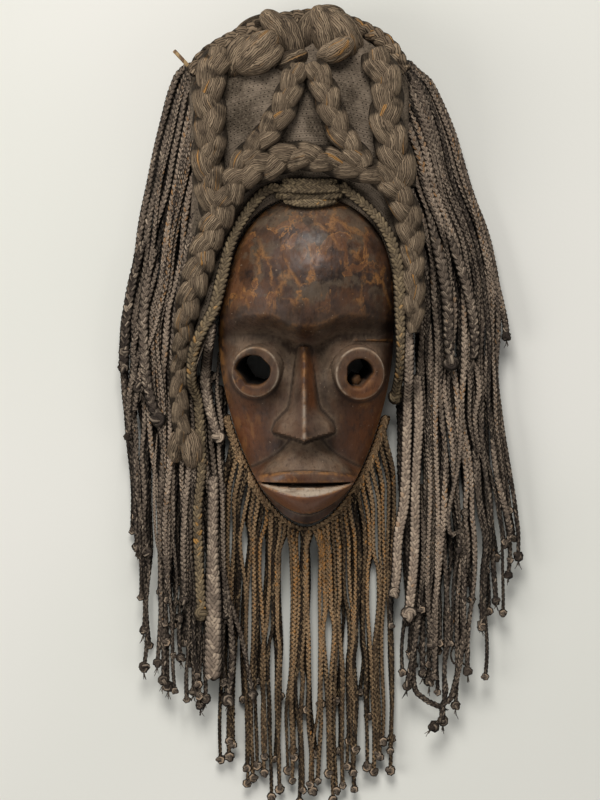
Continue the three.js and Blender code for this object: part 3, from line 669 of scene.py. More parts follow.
@dataclass(frozen=True)
class Weave:
    """The sizes of a strand shape in millimetres, and into how many steps and sides it is divided."""

    width: float
    height: float
    strand: float
    period: float
    steps: int
    sides: int
    ridges: int = 0
    ridge_depth: float = 0.0
    yarns: float = 5.0
    flat: float = 1.0

    @property
    def swing(self) -> float:
        """How far a strand swings to each side of the middle."""
        return self.width / 2 - self.strand

    @property
    def rise(self) -> float:
        """How far a strand rises over and dips under the middle."""
        return max(self.height / 2 - self.strand, 0)


class Twist(Enum):
    """How many strands go round each other."""

    PLAIT = 3
    ROUND = 1


class StrandTree:
    """A geometry node tree that sweeps strands along the lines of a mesh."""

    INPUTS = ("Swing", "Rise", "Strand", "Period", "Step", "Ridges", "Depth", "Yarns", "Flat")

    def __init__(self, twist: Twist) -> None:
        """Builds the tree for one way of going round."""
        self.tree = bpy.data.node_groups.new(twist.name.lower() + "_strands", "GeometryNodeTree")
        self.kit = Kit(self.tree)
        self.strands = twist.value
        self.keys: dict[str, str] = {}
        self._add_socket("Geometry", "NodeSocketGeometry")
        for label in self.INPUTS:
            self._add_socket(label, "NodeSocketFloat")
        self._add_socket("Sides", "NodeSocketInt")
        self._add_socket("Material", "NodeSocketMaterial")
        self.tree.interface.new_socket(name="Geometry", in_out="OUTPUT", socket_type="NodeSocketGeometry")
        self.source = self.tree.nodes.new("NodeGroupInput")
        self._build()

    def _add_socket(self, label: str, kind: str) -> None:
        """Adds one input and keeps its identifier."""
        made = self.tree.interface.new_socket(name=label, in_out="INPUT", socket_type=kind)
        self.keys[label] = made.identifier

    def _input(self, label: str) -> Wire:
        """One of the tree's own inputs."""
        return Wire(self.kit, self.source.outputs[label])

    def _named(self, name: str) -> Wire:
        """A number stored on the line's points."""
        return self.kit.wire("GeometryNodeInputNamedAttribute", {"data_type": "FLOAT"}, {"Name": name})

    def _store(self, geometry: Wire, name: str, value: Wire | float) -> Wire:
        """Stores a number on a line's points."""
        settings = {"data_type": "FLOAT", "domain": "POINT"}
        inputs = {"Geometry": geometry, "Name": name, "Value": value}
        return self.kit.wire("GeometryNodeStoreNamedAttribute", settings, inputs)

    def _profile(self) -> Wire:
        """The cross-section of a strand, with a ridge for each of its yarns."""
        kit = self.kit
        circle = kit.wire("GeometryNodeCurvePrimitiveCircle", {"mode": "RADIUS"},
                          {"Resolution": self._input("Sides"), "Radius": 1.0})
        place = kit.wire("GeometryNodeInputPosition")
        parts = kit.node("ShaderNodeSeparateXYZ", None, {0: place})
        across, down = Wire(kit, parts.outputs[0]), Wire(kit, parts.outputs[1])
        angle = kit.math("ARCTAN2", across, down * -1.0)
        wave = kit.math("COSINE", angle * self._input("Ridges"))
        grown = kit.scaled(place, 1 + wave * self._input("Depth"))
        squash = kit.combined(1.0, self._input("Flat"), 1.0)
        grown = kit.vector("MULTIPLY", grown, squash)
        circle = self._store(circle, "lane", angle / TURN * self._input("Yarns"))
        circle = self._store(circle, "turn", down * -1.0)
        return kit.wire("GeometryNodeSetPosition", None, {"Geometry": circle, "Position": grown})

    def _strand(self, curve: Wire, share: float, across: Wire, lift: Wire, angle: Wire) -> Wire:
        """One strand's line, swung round the middle, and how far it lies on top."""
        kit = self.kit
        swell = self._named("swell")
        turned = angle + TURN * share
        over = kit.math("SINE", turned * 2) * -1.0
        side = kit.scaled(across, kit.math("SINE", turned) * self._input("Swing") * swell)
        rise = kit.scaled(lift, over * self._input("Rise") * swell)
        offset = kit.vector("ADD", side, rise)
        curve = self._store(curve, "over", over if self.strands > 1 else 1.0)
        moved = kit.wire("GeometryNodeSetPosition", None, {"Geometry": curve, "Offset": offset})
        upright = kit.wire("GeometryNodeSetCurveNormal", {"mode": "Z_UP"}, {0: moved})
        return self._store(upright, "strand", share)

    def _build(self) -> None:
        """Adds the nodes."""
        kit = self.kit
        curve = kit.wire("GeometryNodeMeshToCurve", None, {0: self._input("Geometry")})
        curve = kit.wire("GeometryNodeResampleCurve", {"mode": "LENGTH"},
                         {"Curve": curve, "Length": self._input("Step")})
        length = kit.wire("GeometryNodeSplineParameter", output="Length")
        curve = self._store(curve, "along", length)
        angle = length / self._input("Period") * TURN + self._named("phase")
        tangent = kit.wire("GeometryNodeInputTangent")
        across = kit.vector("NORMALIZE", kit.vector("CROSS_PRODUCT", tangent, (0, 0, 1)))
        lift = kit.vector("CROSS_PRODUCT", across, tangent)
        join = self.tree.nodes.new("GeometryNodeJoinGeometry")
        for k in range(self.strands):
            strand = self._strand(curve, k / self.strands, across, lift, angle)
            self.tree.links.new(strand.socket, join.inputs[0])
        swept = kit.wire("GeometryNodeCurveToMesh", None, {
            "Curve": Wire(kit, join.outputs[0]), "Profile Curve": self._profile(),
            "Scale": self._input("Strand") * self._named("swell"), "Fill Caps": True,
        })
        smooth = kit.wire("GeometryNodeSetShadeSmooth", None, {"Geometry": swept})
        whole = kit.wire("GeometryNodeRealizeInstances", None, {"Geometry": smooth})
        dressed = kit.wire("GeometryNodeSetMaterial", None,
                           {"Geometry": whole, "Material": self._input("Material")})
        output = self.tree.nodes.new("NodeGroupOutput")
        self.tree.links.new(dressed.socket, output.inputs[0])

    def sweep(self, name: str, lines: list[Line], weave: Weave,
              material: bpy.types.Material) -> Piece:
        """Makes a mesh of strands along lines.

        Args:
            name: The object's name.
            lines: The lines that the strands follow.
            weave: The sizes of the strands.
            material: Their material.

        Returns:
            The object.
        """
        made = self._skeleton(name, lines)
        modifier = made.modifiers.new("strands", "NODES")
        modifier.node_group = self.tree
        sizes = (weave.swing, weave.rise, weave.strand, weave.period, weave.period / weave.steps)
        shares = (weave.ridges, weave.ridge_depth, weave.yarns, weave.flat)
        for label, value in zip(self.INPUTS, (*(size * MM for size in sizes), *shares)):
            modifier[self.keys[label]] = float(value)
        modifier[self.keys["Sides"]] = weave.sides
        modifier[self.keys["Material"]] = material
        return bake(made)

    @staticmethod
    def _skeleton(name: str, lines: list[Line]) -> Piece:
        """The lines as loose edges that carry their tone, phase and swell."""
        edges, start = [], 0
        for line in lines:
            count = len(line.points)
            edges += [(start + i, start + i + 1) for i in range(count - 1)]
            start += count
        made = add_object(name, np.vstack([line.points for line in lines]), [], edges)
        for label in ("tone", "phase", "swell"):
            values = [np.broadcast_to(getattr(line, label), len(line.points)) for line in lines]
            set_attribute(made, label, np.concatenate(values))
        return made


# A cut thread under a knot, and the cord of a thumb knot, whose size the line's swell gives.
THREAD = Weave(width=1, height=1, strand=0.42, period=3, steps=1, sides=4, yarns=1)
KNOT_CORD = Weave(width=2, height=2, strand=1, period=1.8, steps=1, sides=5, yarns=6)
# The radius of a knot's cord, and its loop's own unit, as shares of the knot's width.
CORD_SHARE = 0.21
LOOP_SHARE = 0.1
KNOT_POINTS = 22
KNOT_CLEARANCE = 0.3


class Spinner:
    """Makes plaits, ropes, cords, knots and tufts of every cotton."""

    def __init__(self) -> None:
        """Makes the node trees and the materials once."""
        self.trees = {twist: StrandTree(twist) for twist in Twist}
        self.materials = {yarn: yarn.value.make() for yarn in Yarn}
        self.dice = random.Random(SEED)

    def sweep(self, name: str, lines: list[Line], weave: Weave, yarn: Yarn,
              twist: Twist = Twist.PLAIT) -> Piece:
        """Strands of one cotton along lines."""
        return self.trees[twist].sweep(name, lines, weave, self.materials[yarn])

    def uneven(self, count: int, amount: float, waves: float) -> Array:
        """Numbers about 1 that rise and fall along a line, as handwork does."""
        share = np.linspace(0, 1, count)
        total = np.zeros(count)
        for size in (1.0, 0.6):
            wave = share * waves / size * self.dice.uniform(0.7, 1.3) + self.dice.uniform(*PHASES)
            total += size * np.sin(wave)
        return 1 + amount * total / 1.6

    def knot(self, middle: Array, size: float, tone: float) -> Line:
        """A thumb knot as one closed loop of cord.

        Args:
            middle: Its middle.
            size: Its width in millimetres.
            tone: How light it is.

        Returns:
            The line of the cord, whose swell is the cord's radius.
        """
        turn = np.linspace(0, TURN, KNOT_POINTS)
        radius = 2.0 + np.cos(3 * turn)
        loop = np.column_stack([radius * np.cos(2 * turn), radius * np.sin(2 * turn), 1.5 * np.sin(3 * turn)])
        spin, tilt = self.dice.uniform(0, TURN), self.dice.uniform(0.3, 0.9)
        loop = rotated(rotated(loop, tilt, 1, 2), spin, 0, 1) * size * LOOP_SHARE
        cord = size * CORD_SHARE
        lowest = float(loop[:, 2].min()) - cord
        middle = np.array([middle[0], middle[1], max(middle[2], KNOT_CLEARANCE - lowest)])
        return Line(middle + loop, tone, swell=cord)

    def knots(self, name: str, lines: list[Line], yarn: Yarn) -> Piece:
        """Several thumb knots as one object."""
        return self.sweep(name, lines, KNOT_CORD, yarn, Twist.ROUND)

    def tuft(self, start: Array, heading: Array, length: float, tone: float,
             count: int = 5) -> list[Line]:
        """The cut threads under a knot."""
        lines = []
        for _ in range(count):
            bend = np.array([self.dice.uniform(-0.5, 0.5), self.dice.uniform(-0.2, 0.2), 0])
            reach = length * self.dice.uniform(0.5, 1.2)
            steps = np.linspace(0, 1, 5)[:, None]
            points = start + heading * reach * steps + bend * reach * steps**2
            lines.append(Line(points, tone + self.dice.uniform(-0.2, 0.2), swell=1 - 0.5 * steps[:, 0]))
        return lines


# The carved face


@dataclass(frozen=True)
class Eye:
    """One eye tube: its side, rim centre, half sizes, and the hole's centre, half sizes and straight cuts.

    A cut is the way that it faces, in degrees, and its distance as a share of the hole's half size.
    """

    side: int
    x: float
    y: float
    half_x: float
    half_y: float
    hole_x: float
    hole_y: float
    hole_half_x: float
    hole_half_y: float
    cuts: tuple[tuple[float, float], ...] = ()


# Profiles of turned shapes: the chip out of the left tube's edge, and the splinter inside the right tube.
CHIP_PROFILE = ((0, -2.8), (1.5, -2.6), (2.3, -1), (2.7, 6), (0, 6))
CHIP_STRETCH = 1.9
SPLINTER_PROFILE = ((0, -24), (5.2, -24), (5, -17), (3.6, -14), (1.5, -12.8), (0, -12.6))
SPLINTER_STRETCH = 1.15
SPLINTER_CUTS = ((140, 0.8), (20, 0.85), (75, 0.7))
# The bore through a tube, with what is added to the hole's radius at each height.
BORE_PROFILE = (
    (-1.5, -90), (-1, -30), (-0.4, -8), (0, -1.8), (0.25, -0.9), (0.9, -0.15), (1.9, 0.6), (3, 20),
)
TURNED_SIDES = 72
# The nose's half width, each with how far below the face's middle it is measured.
NOSE_WIDTHS = (
    (-15, 5), (10, 7.2), (21, 8), (29, 8.6), (34, 9.8), (38, 13.5), (43, 17.5), (48, 19), (54, 19.5),
)


@dataclass
class CarvedFace:
    """The wooden face: a hollow egg with a domed forehead, eye tubes, a ridged nose and full lips."""

    half_width: float = 66.6
    widest_y: float = 20.0
    top_y: float = 128.0
    chin_y: float = -121.0
    rim_height: float = 24.0
    wall: float = 9.0
    cavity_height: float = 38.0
    rows: int = 270
    columns: int = 170
    eye_front: float = 67.0
    eye_foot: float = 38.0
    eye_splay: float = 0.16
    tube_lip: float = 1.6
    eyes: tuple[Eye, Eye] = (
        Eye(-1, -37.8, -5.6, 17.9, 18.8, -39.6, -4.6, 13.2, 11.4, ((212, 0.8), (262, 0.93), (40, 0.93))),
        Eye(1, 40.2, -6.8, 18.4, 19.6, 40.2, -7.0, 10.6, 11.2, ((180, 0.9), (268, 0.9), (318, 0.7))),
    )
    nose_ridge_y: float = 15.0
    nose_tip_y: float = -56.5
    mouth_corner: float = 37.0
    lips_end: float = 38.0
    bevel_end: float = 36.0
    slit_end: float = 34.0
    chip: tuple[float, float] = (-50.4, -15.2)
    splinter: tuple[float, float] = (39.4, -12.6)
    slit_y: float = -89.0
    hollow_rows: int = 60
    hollow_columns: int = 36
    sharp_from: float = 50.0

    def outline(self, y: Array) -> Array:
        """Half the wood's width at height y."""
        up = np.clip((y - self.widest_y) / (self.top_y - self.widest_y), 0, 1)
        down = np.clip((self.widest_y - y) / (self.widest_y - self.chin_y), 0, 1)
        return self.half_width * np.where(y > self.widest_y, np.sqrt(1 - up**2.8), (1 - down**1.6) ** 0.56)

    @staticmethod
    def lean(y: Array) -> Array:
        """How far the forehead leans to the right of the chin at height y."""
        return 4 * ramp(y, 20, 90)

    def inside(self, x: Array, y: Array) -> Array:
        """1 at the middle of the wood and 0 on its outline."""
        share = self.outline(y) / self.half_width
        return np.clip(share**2 - (x / self.half_width) ** 2, 0, 1)

    def nose(self, x: Array, y: Array) -> Array:
        """Height of the ridged nose with its two wings."""
        x = x + 1.4
        side = np.abs(x)
        ridge = 57 + (self.nose_ridge_y - y) * 0.36
        half = np.interp(-y, *zip(*NOSE_WIDTHS))
        soft = np.sqrt(x * x + 1.44) - 1.2
        height = ridge - 12 * (soft / half) ** 1.1 - 3 * np.clip(y - 13, 0, 30)
        height -= 3 * np.clip(side - half, 0, 99) ** 1.2
        low = self.nose_tip_y + 6.5 * np.clip(side / 22, 0, 1) ** 0.8
        return height - 34 * np.clip((low - y) / 2.2, 0, 1) ** 0.8 - 60 * np.clip((low - y - 2.2) / 2, 0, 1)

    def slit(self, side: Array) -> Array:
        """The line between the lips."""
        return self.slit_y + 2 * (side / 36) ** 2

    def lip_top(self, side: Array) -> Array:
        """The upper edge of the upper lip."""
        return -79 - 5.5 * (side / 40) ** 2.2

    @staticmethod
    def muzzle_width(y: Array) -> Array:
        """Half the muzzle's width at height y."""
        return 15 + 23 * ramp(-y, 52, 88)

    def upper_lip(self, x: Array, y: Array) -> Array:
        """Height of the muzzle and the upper lip."""
        side = np.abs(x)
        width = self.muzzle_width(y)
        rise = np.clip((-54 - y) / 26, 0, 1)
        muzzle = 54 + 13.5 * rise**0.8 - 20 * (side / width) ** 3
        top = self.lip_top(side)
        full = 2.6 * np.clip(1 - (side / self.mouth_corner) ** 3, 0, 1)
        lens = ramp(top - y, -0.6, 1.2) * full - 0.1 * np.clip(top - y - 2, 0, 20) ** 1.6
        height = muzzle + lens - 60 * np.clip((self.slit(side) - y) / 1.5, 0, 1)
        return np.where(y > -50, -50, height)

    def lower_lip(self, x: Array, y: Array) -> Array:
        """Height of the lower lip, with its bevel inside the mouth."""
        side = np.abs(x)
        top = self.slit(side)
        edge = self.lip_bottom(side)
        down = np.clip((top - y) / np.maximum(top - edge, 0.6), 0, 1)
        bevel = 63.5 + 6.5 * np.clip(down / 0.42, 0, 1) ** 0.9
        roll = 70 - 13 * np.clip((down - 0.42) / 0.58, 0, 1) ** 1.5
        height = np.where(down < 0.42, bevel, roll) - 14 * np.clip(side / self.mouth_corner, 0, 1.4) ** 2
        return np.where(y > top, -50, height - 60 * np.clip((edge - y) / 1.8, 0, 1))

    def lip_bottom(self, side: Array) -> Array:
        """The lower edge of the lower lip."""
        return -111 + 23 * np.clip(side / self.mouth_corner, 0, 1.3) ** 1.8

    def height(self, x: Array, y: Array) -> Array:
        """Height of the carving over the rim's plane, without the eye tubes."""
        side = np.abs(x)
        inside = self.inside(x, y)
        height = self.rim_height + 30 * inside**0.42
        brow = 22 + 9 * ramp(side, 4, 30) - 3 * ramp(side, 42, 62)
        under = ramp(y - brow, -9, 7)
        lengthways = np.clip(1 - ((y - 55) / np.where(y < 55, 95, 85)) ** 2, 0, 1)
        height += 25 * lengthways * np.clip(1 - (side / 74) ** 2.4, 0, 1) * under
        height -= 6 * bell(side, 15, 8) * bell(y, 4, 13)
        height -= 3.5 * bell(y - brow, -11, 5) * np.clip(1 - (side / 66) ** 4, 0, 1)
        for eye in self.eyes:
            away = np.hypot(x - eye.x, y - eye.y)
            height += 5 * np.exp(-((np.clip(away - 16, 0, 99) / 7) ** 2)) * (x * eye.side > 0)
        height -= 5 * ramp(-y, 20, 60) * ramp(side, 18, 46)
        height += 1.6 * ramp(y, 17.3, 18.3) * (1 - ramp(y, 19, 26)) * ramp(x, 34, 38)
        height = soft_max(height, self.upper_lip(x, y), 3)
        height = soft_max(height, self.nose(x, y), 1.8)
        height = soft_max(height, self.lower_lip(x, y), 1.2)
        half = 1.5 * np.clip(1 - (side / self.slit_end) ** 2, 0, 1)
        gap = np.clip(1 - np.abs(y - self.slit(side) + 0.3) / (half + 0.3), 0, 1)
        height -= 14 * np.sqrt(gap) * (side < self.slit_end)
        height = soft_max(height, 46 - 12 * ((x / 21) ** 2 + ((y + 110) / 16) ** 2), 2)
        flank = self.rim_height * np.clip(inside / 0.02, 0, 1) ** 0.4
        flank += 80 * np.clip(inside / 0.08, 0, 1) ** 0.8
        return np.minimum(height, flank)

    def _sheet(self, rows: int, columns: int, shrink: float) -> tuple[Array, Array]:
        """Rows of points over the egg, close together at its ends and sides."""
        share = np.linspace(0, 1, rows)
        share = 0.65 * share + 0.35 * (1 - np.cos(math.pi * share)) / 2
        across = np.linspace(-1, 1, columns)
        across = 0.75 * across + 0.25 * np.sin(across * math.pi / 2)
        y = np.repeat((self.chin_y + (self.top_y - self.chin_y) * share)[:, None], columns, axis=1)
        x = np.maximum(self.outline(y), 0.4) * across[None, :]
        middle = (self.top_y + self.chin_y) / 2
        grow_x, grow_y = 1 - shrink / self.half_width, 1 - shrink / (self.top_y - middle)
        return x * grow_x, middle + (y - middle) * grow_y

    def _block(self) -> Piece:
        """The wood without its hollow, with the marks of the carver's knife."""
        x, y = self._sheet(self.rows, self.columns, 0)
        z = self.height(x, y)
        points = np.column_stack([x.ravel(), y.ravel(), z.ravel()])
        facets = [noise.noise(Vector((px / 9, py / 13, 0))) for px, py, _ in points]
        scratches = [noise.noise(Vector((px / 2.6, py / 4, 5))) for px, py, _ in points]
        lift = 0.5 * np.array(facets) + 0.16 * np.array(scratches)
        points[:, 2] += lift * np.clip(self.inside(points[:, 0], points[:, 1]) / 0.1, 0, 1)
        border = grid_border(self.rows, self.columns)
        points[border, 2] = 0
        points[:, 0] += self.lean(points[:, 1])
        return add_object("carving", points, [*grid_faces(self.rows, self.columns), tuple(border)])

    def _hollow(self) -> Piece:
        """The room behind the face as a solid to cut away."""
        rows, columns = self.hollow_rows, self.hollow_columns
        x, y = self._sheet(rows, columns, self.wall)
        wide, tall = self._sheet(rows, columns, 0)
        z = self.cavity_height * np.sqrt(self.inside(wide, tall)) + 0.1
        border = grid_border(rows, columns)
        points = np.column_stack([x.ravel() + self.lean(y.ravel()), y.ravel(), z.ravel()])
        skirt = points[border] * (1, 1, 0) - (0, 0, 5)
        start = len(points)
        count = len(border)
        walls = [
            (border[i], border[(i + 1) % count], start + (i + 1) % count, start + i) for i in range(count)
        ]
        floor = tuple(start + i for i in range(count))
        return add_object("hollow", np.vstack([points, skirt]), [*grid_faces(rows, columns), *walls, floor])

    def _turned(self, name: str, profile: Points, x: float, y: float, stretch: float, side: int,
                cuts: Points = ()) -> Piece:
        """A turned solid whose axis leans with the eye tubes.

        Args:
            name: The object's name.
            profile: Radius and height over the eye's front, from the axis up and back to the axis.
            x, y: The axis at the eye's front.
            stretch: How much longer its Y is than its X.
            side: -1 on the left and 1 on the right.
            cuts: Straight cuts, as an eye has them.

        Returns:
            The object.
        """
        sides = TURNED_SIDES
        ring = profile[1:-1]
        turn = np.arange(sides) * TURN / sides
        reach = np.ones(sides)
        for facing, distance in cuts:
            towards = np.cos(turn - math.radians(facing))
            reach = np.minimum(reach, distance / np.maximum(towards, 0.3))
        points = [(0.0, 0.0, profile[0][1])]
        for radius, rise in ring:
            points += [
                (radius * r * math.cos(t), radius * r * stretch * math.sin(t), rise)
                for t, r in zip(turn, reach)
            ]
        points.append((0.0, 0.0, profile[-1][1]))
        last = len(points) - 1
        faces = [(0, 1 + (k + 1) % sides, 1 + k) for k in range(sides)]
        for r in range(len(ring) - 1):
            a, b = 1 + r * sides, 1 + (r + 1) * sides
            faces += [(a + k, a + (k + 1) % sides, b + (k + 1) % sides, b + k) for k in range(sides)]
        a = 1 + (len(ring) - 1) * sides
        faces += [(a + k, a + (k + 1) % sides, last) for k in range(sides)]
        points = np.array(points)
        tilt, lean = self.eye_splay * 0.8, side * self.eye_splay
        points = rotated(rotated(points, tilt, 1, 2), lean, 2, 0) + (x, y, self.eye_front - 2)
        return add_object(name, points, faces)

    def _tube(self, eye: Eye) -> Piece:
        """The outside of an eye tube, with a rounded lip and a foot that spreads into the face."""
        radius, lip = eye.half_x, self.tube_lip
        low = self.eye_foot - self.eye_front
        profile = [(0, low), (radius + 1.2, low), (radius + 0.6, -14), (radius + 0.1, -8), (radius, -3)]
        profile += [
            (radius - lip + lip * math.cos(a), -lip + lip * math.sin(a)) for a in (0.3, 0.8, 1.2, 1.57)
        ]
        profile += [(radius - 3.2, 0.15), (radius - 5.5, 0.1), (0, 0)]
        return self._turned("tube", profile, eye.x, eye.y, eye.half_y / eye.half_x, eye.side)

    def _bore(self, eye: Eye) -> Piece:
        """The hole through an eye tube as a solid to cut away, with a softened mouth."""
        ring = [(eye.hole_half_x + more, rise) for more, rise in BORE_PROFILE]
        profile = [(0, ring[0][1]), *ring, (0, ring[-1][1])]
        stretch = eye.hole_half_y / eye.hole_half_x
        return self._turned("bore", profile, eye.hole_x, eye.hole_y, stretch, eye.side, eye.cuts)

    @staticmethod
    def _combine(made: Piece, tool: Piece, operation: str) -> None:
        """Joins or cuts one solid with another."""
        modifier = made.modifiers.new(operation.lower(), "BOOLEAN")
        modifier.operation = operation
        modifier.solver = "MANIFOLD"
        modifier.object = tool
        bake(made)
        bpy.data.objects.remove(tool)

    def _mark(self, made: Piece) -> None:
        """Stores where the wood is worn, dusty, glossy or red, and where shade and highlights are painted."""
        x, y, z = points_of(made).T
        x = x - self.lean(y)
        side = np.abs(x)
        deep = hollows(made, 14)
        fine = hollows(made, 4)
        front = np.clip(z / 20, 0, 1)
        left_rim = bell(x + self.outline(y), 2.5, 2.2) * (x < 0) * ramp(y, -50, 20)
        sockets = bell(y, 2, 24) * ramp(side, 2, 10) * (1 - ramp(side, 48, 64))
        muzzle = ramp(-y, 50, 62) * ramp(y, -82, -79)
        muzzle *= 1 - ramp(side / self.muzzle_width(y), 0.8, 1.05)
        wings = bell(side, 15, 9) * bell(y, -42, 12)
        dust_and_highlight = np.clip(deep * 1.2, 0, 1) * 0.7 + 0.85 * sockets + 0.75 * muzzle
        dust_and_highlight = dust_and_highlight + 0.3 * bell(y, 118, 18) + 0.7 * wings
        edge, slit = self.lip_bottom(side), self.slit(side)
        outer_lip = edge + (slit - edge) * 0.6
        lip = ramp(outer_lip - y, -1, 1) * ramp(y - edge, -2, 1) * (side < self.lips_end)
        # Painted highlight: the lower lip's bevel is lightened with the dusty colour and pale streaks.
        bevel = ramp(slit - y, 0.8, 2) * ramp(y - outer_lip, -0.5, 1) * (side < self.bevel_end)
        dust_and_highlight += 1.1 * bevel
        upper = ramp(self.lip_top(side) - y, -0.5, 1) * ramp(y - slit, -1, 1)
        upper *= side < self.lips_end
        lip += 0.35 * upper
        upper_edge = bell(y - self.lip_top(side), -0.4, 0.9) * (1 - ramp(side, 30, 38))
        # Painted highlight: a light line along the ledge on the right.
        ledge = bell(y, 17.9, 0.8) * ramp(x, 34, 38)
        flank = ramp(side, 3, 5) * (1 - ramp(side, 24, 27)) * ramp(-y, -20, -12)
        flank *= 1 - ramp(-y, 58, 62)
        wear_and_highlight = np.clip(-fine * 3.2, 0, 1) * 0.45 * (1 - 0.9 * flank)
        wear_and_highlight = wear_and_highlight + left_rim * 0.9 + upper_edge + 0.9 * ledge
        wear_and_highlight += 0.7 * bell(y - outer_lip, 0, 0.9) * (1 - ramp(side, 26, 36))
        # Painted highlight along the nose ridge, laid on as orange.
        ridge = bell(x, -1.4, 1.1) * ramp(-y, -12, -4) * (1 - ramp(-y, 54, 58))
        wear_and_highlight += 0.4 * ridge
        red_cheek_and_nose_shade = bell(x, 46, 18) * bell(y, -42, 34) + 0.9 * bell(x, -45, 16) * bell(y, -46, 30)
        red_cheek_and_nose_shade *= 1 - muzzle
        # Painted shade: the nose's right flank made redder and less dusty, so darker than the left.
        red_cheek_and_nose_shade += 0.7 * bell(x, 4.5, 4) * ramp(-y, -12, 0) * (1 - ramp(-y, 28, 38))
        dust_and_highlight *= 1 - 0.6 * np.clip(red_cheek_and_nose_shade, 0, 1)
        away = np.hypot(x - self.chip[0], (y - self.chip[1]) / CHIP_STRETCH)
        chipped = bell(away, 2.2, 1.5) * ramp(z, 48, 56)
        wear_and_highlight += 1.2 * chipped
        dust_and_highlight *= 1 - np.clip(chipped, 0, 1)
        # Painted shade in the fine hollows of the front.
        crease_shade = np.clip((fine - 0.04) * 5, 0, 1) * front * (1 - bevel)
        # Painted highlight along the nose ridge.
        bevel += 0.6 * ridge * ramp(-y, 8, 26)
        for eye in self.eyes:
            ring = np.hypot((x - eye.x) / eye.half_x, (y - eye.y) / eye.half_y)
            # Painted highlight on each eye tube's rim.
            bevel += 0.7 * bell(ring, 0.97, 0.035) * ramp(z, 56, 60)
            dust_and_highlight *= 1 - 0.75 * (1 - ramp(ring, 0.88, 0.94)) * ramp(z, 54, 58)
            # Painted shadow: a dark crescent below each eye tube's foot.
            foot = bell(ring, 1.08, 0.07) * ramp(eye.y - y, -6, 8) * (1 - ramp(z, 57, 62))
            crease_shade = np.maximum(crease_shade, foot)
        # Painted shade: where the eye holes go deep, marked to be painted very dark.
        hole_shade = np.zeros(len(x))
        for eye in self.eyes:
            away = np.hypot((x - eye.hole_x) / eye.hole_half_x, (y - eye.hole_y) / eye.hole_half_y)
            hole_shade = np.maximum(hole_shade, (away < 1.2) * ramp(-z, -64, -58))
        away = np.hypot(x - self.splinter[0], (y - self.splinter[1]) / 1.2)
        stub = (1 - ramp(away, 4.2, 5.4)) * ramp(z, 42, 48)
        hole_shade *= 1 - np.clip(stub + chipped, 0, 1)
        marks = {
            "bevel": bevel, "crease_shade": crease_shade, "wear_and_highlight": np.clip(wear_and_highlight * front, 0, 1),
            "dust_and_highlight": np.clip(dust_and_highlight * front, 0, 1), "hole_shade": hole_shade, "lip": np.clip(lip, 0, 1),
            "red_and_nose_shade": np.clip(red_cheek_and_nose_shade, 0, 1), "fore": ramp(y, 34, 50) + 0.8 * upper,
            # brow: painted shade under the forehead's overhang.
            "brow": bell(y, 31, 10),
        }
        for name, values in marks.items():
            set_attribute(made, name, values)

    def build(self) -> Piece:
        """Carves, hollows, bores and dresses the face."""
        made = self._block()
        for eye in self.eyes:
            self._combine(made, self._tube(eye), "UNION")
        self._combine(made, self._hollow(), "DIFFERENCE")
        for eye in self.eyes:
            self._combine(made, self._bore(eye), "DIFFERENCE")
        chip = self._turned("notch", CHIP_PROFILE, *self.chip, CHIP_STRETCH, -1)
        self._combine(made, chip, "DIFFERENCE")
        stub = self._turned("splinter", SPLINTER_PROFILE, *self.splinter, SPLINTER_STRETCH, 1, SPLINTER_CUTS)
        self._combine(made, stub, "UNION")
        made.name = made.data.name = "carved_face"
        self._mark(made)
        made.data.shade_smooth()
        made.data.set_sharp_from_angle(angle=math.radians(self.sharp_from))
        made.data.materials.clear()
        made.data.materials.append(CarvedWoodFinish().make())
        return present(made, "carved_wood", "face")


# The knitted cap


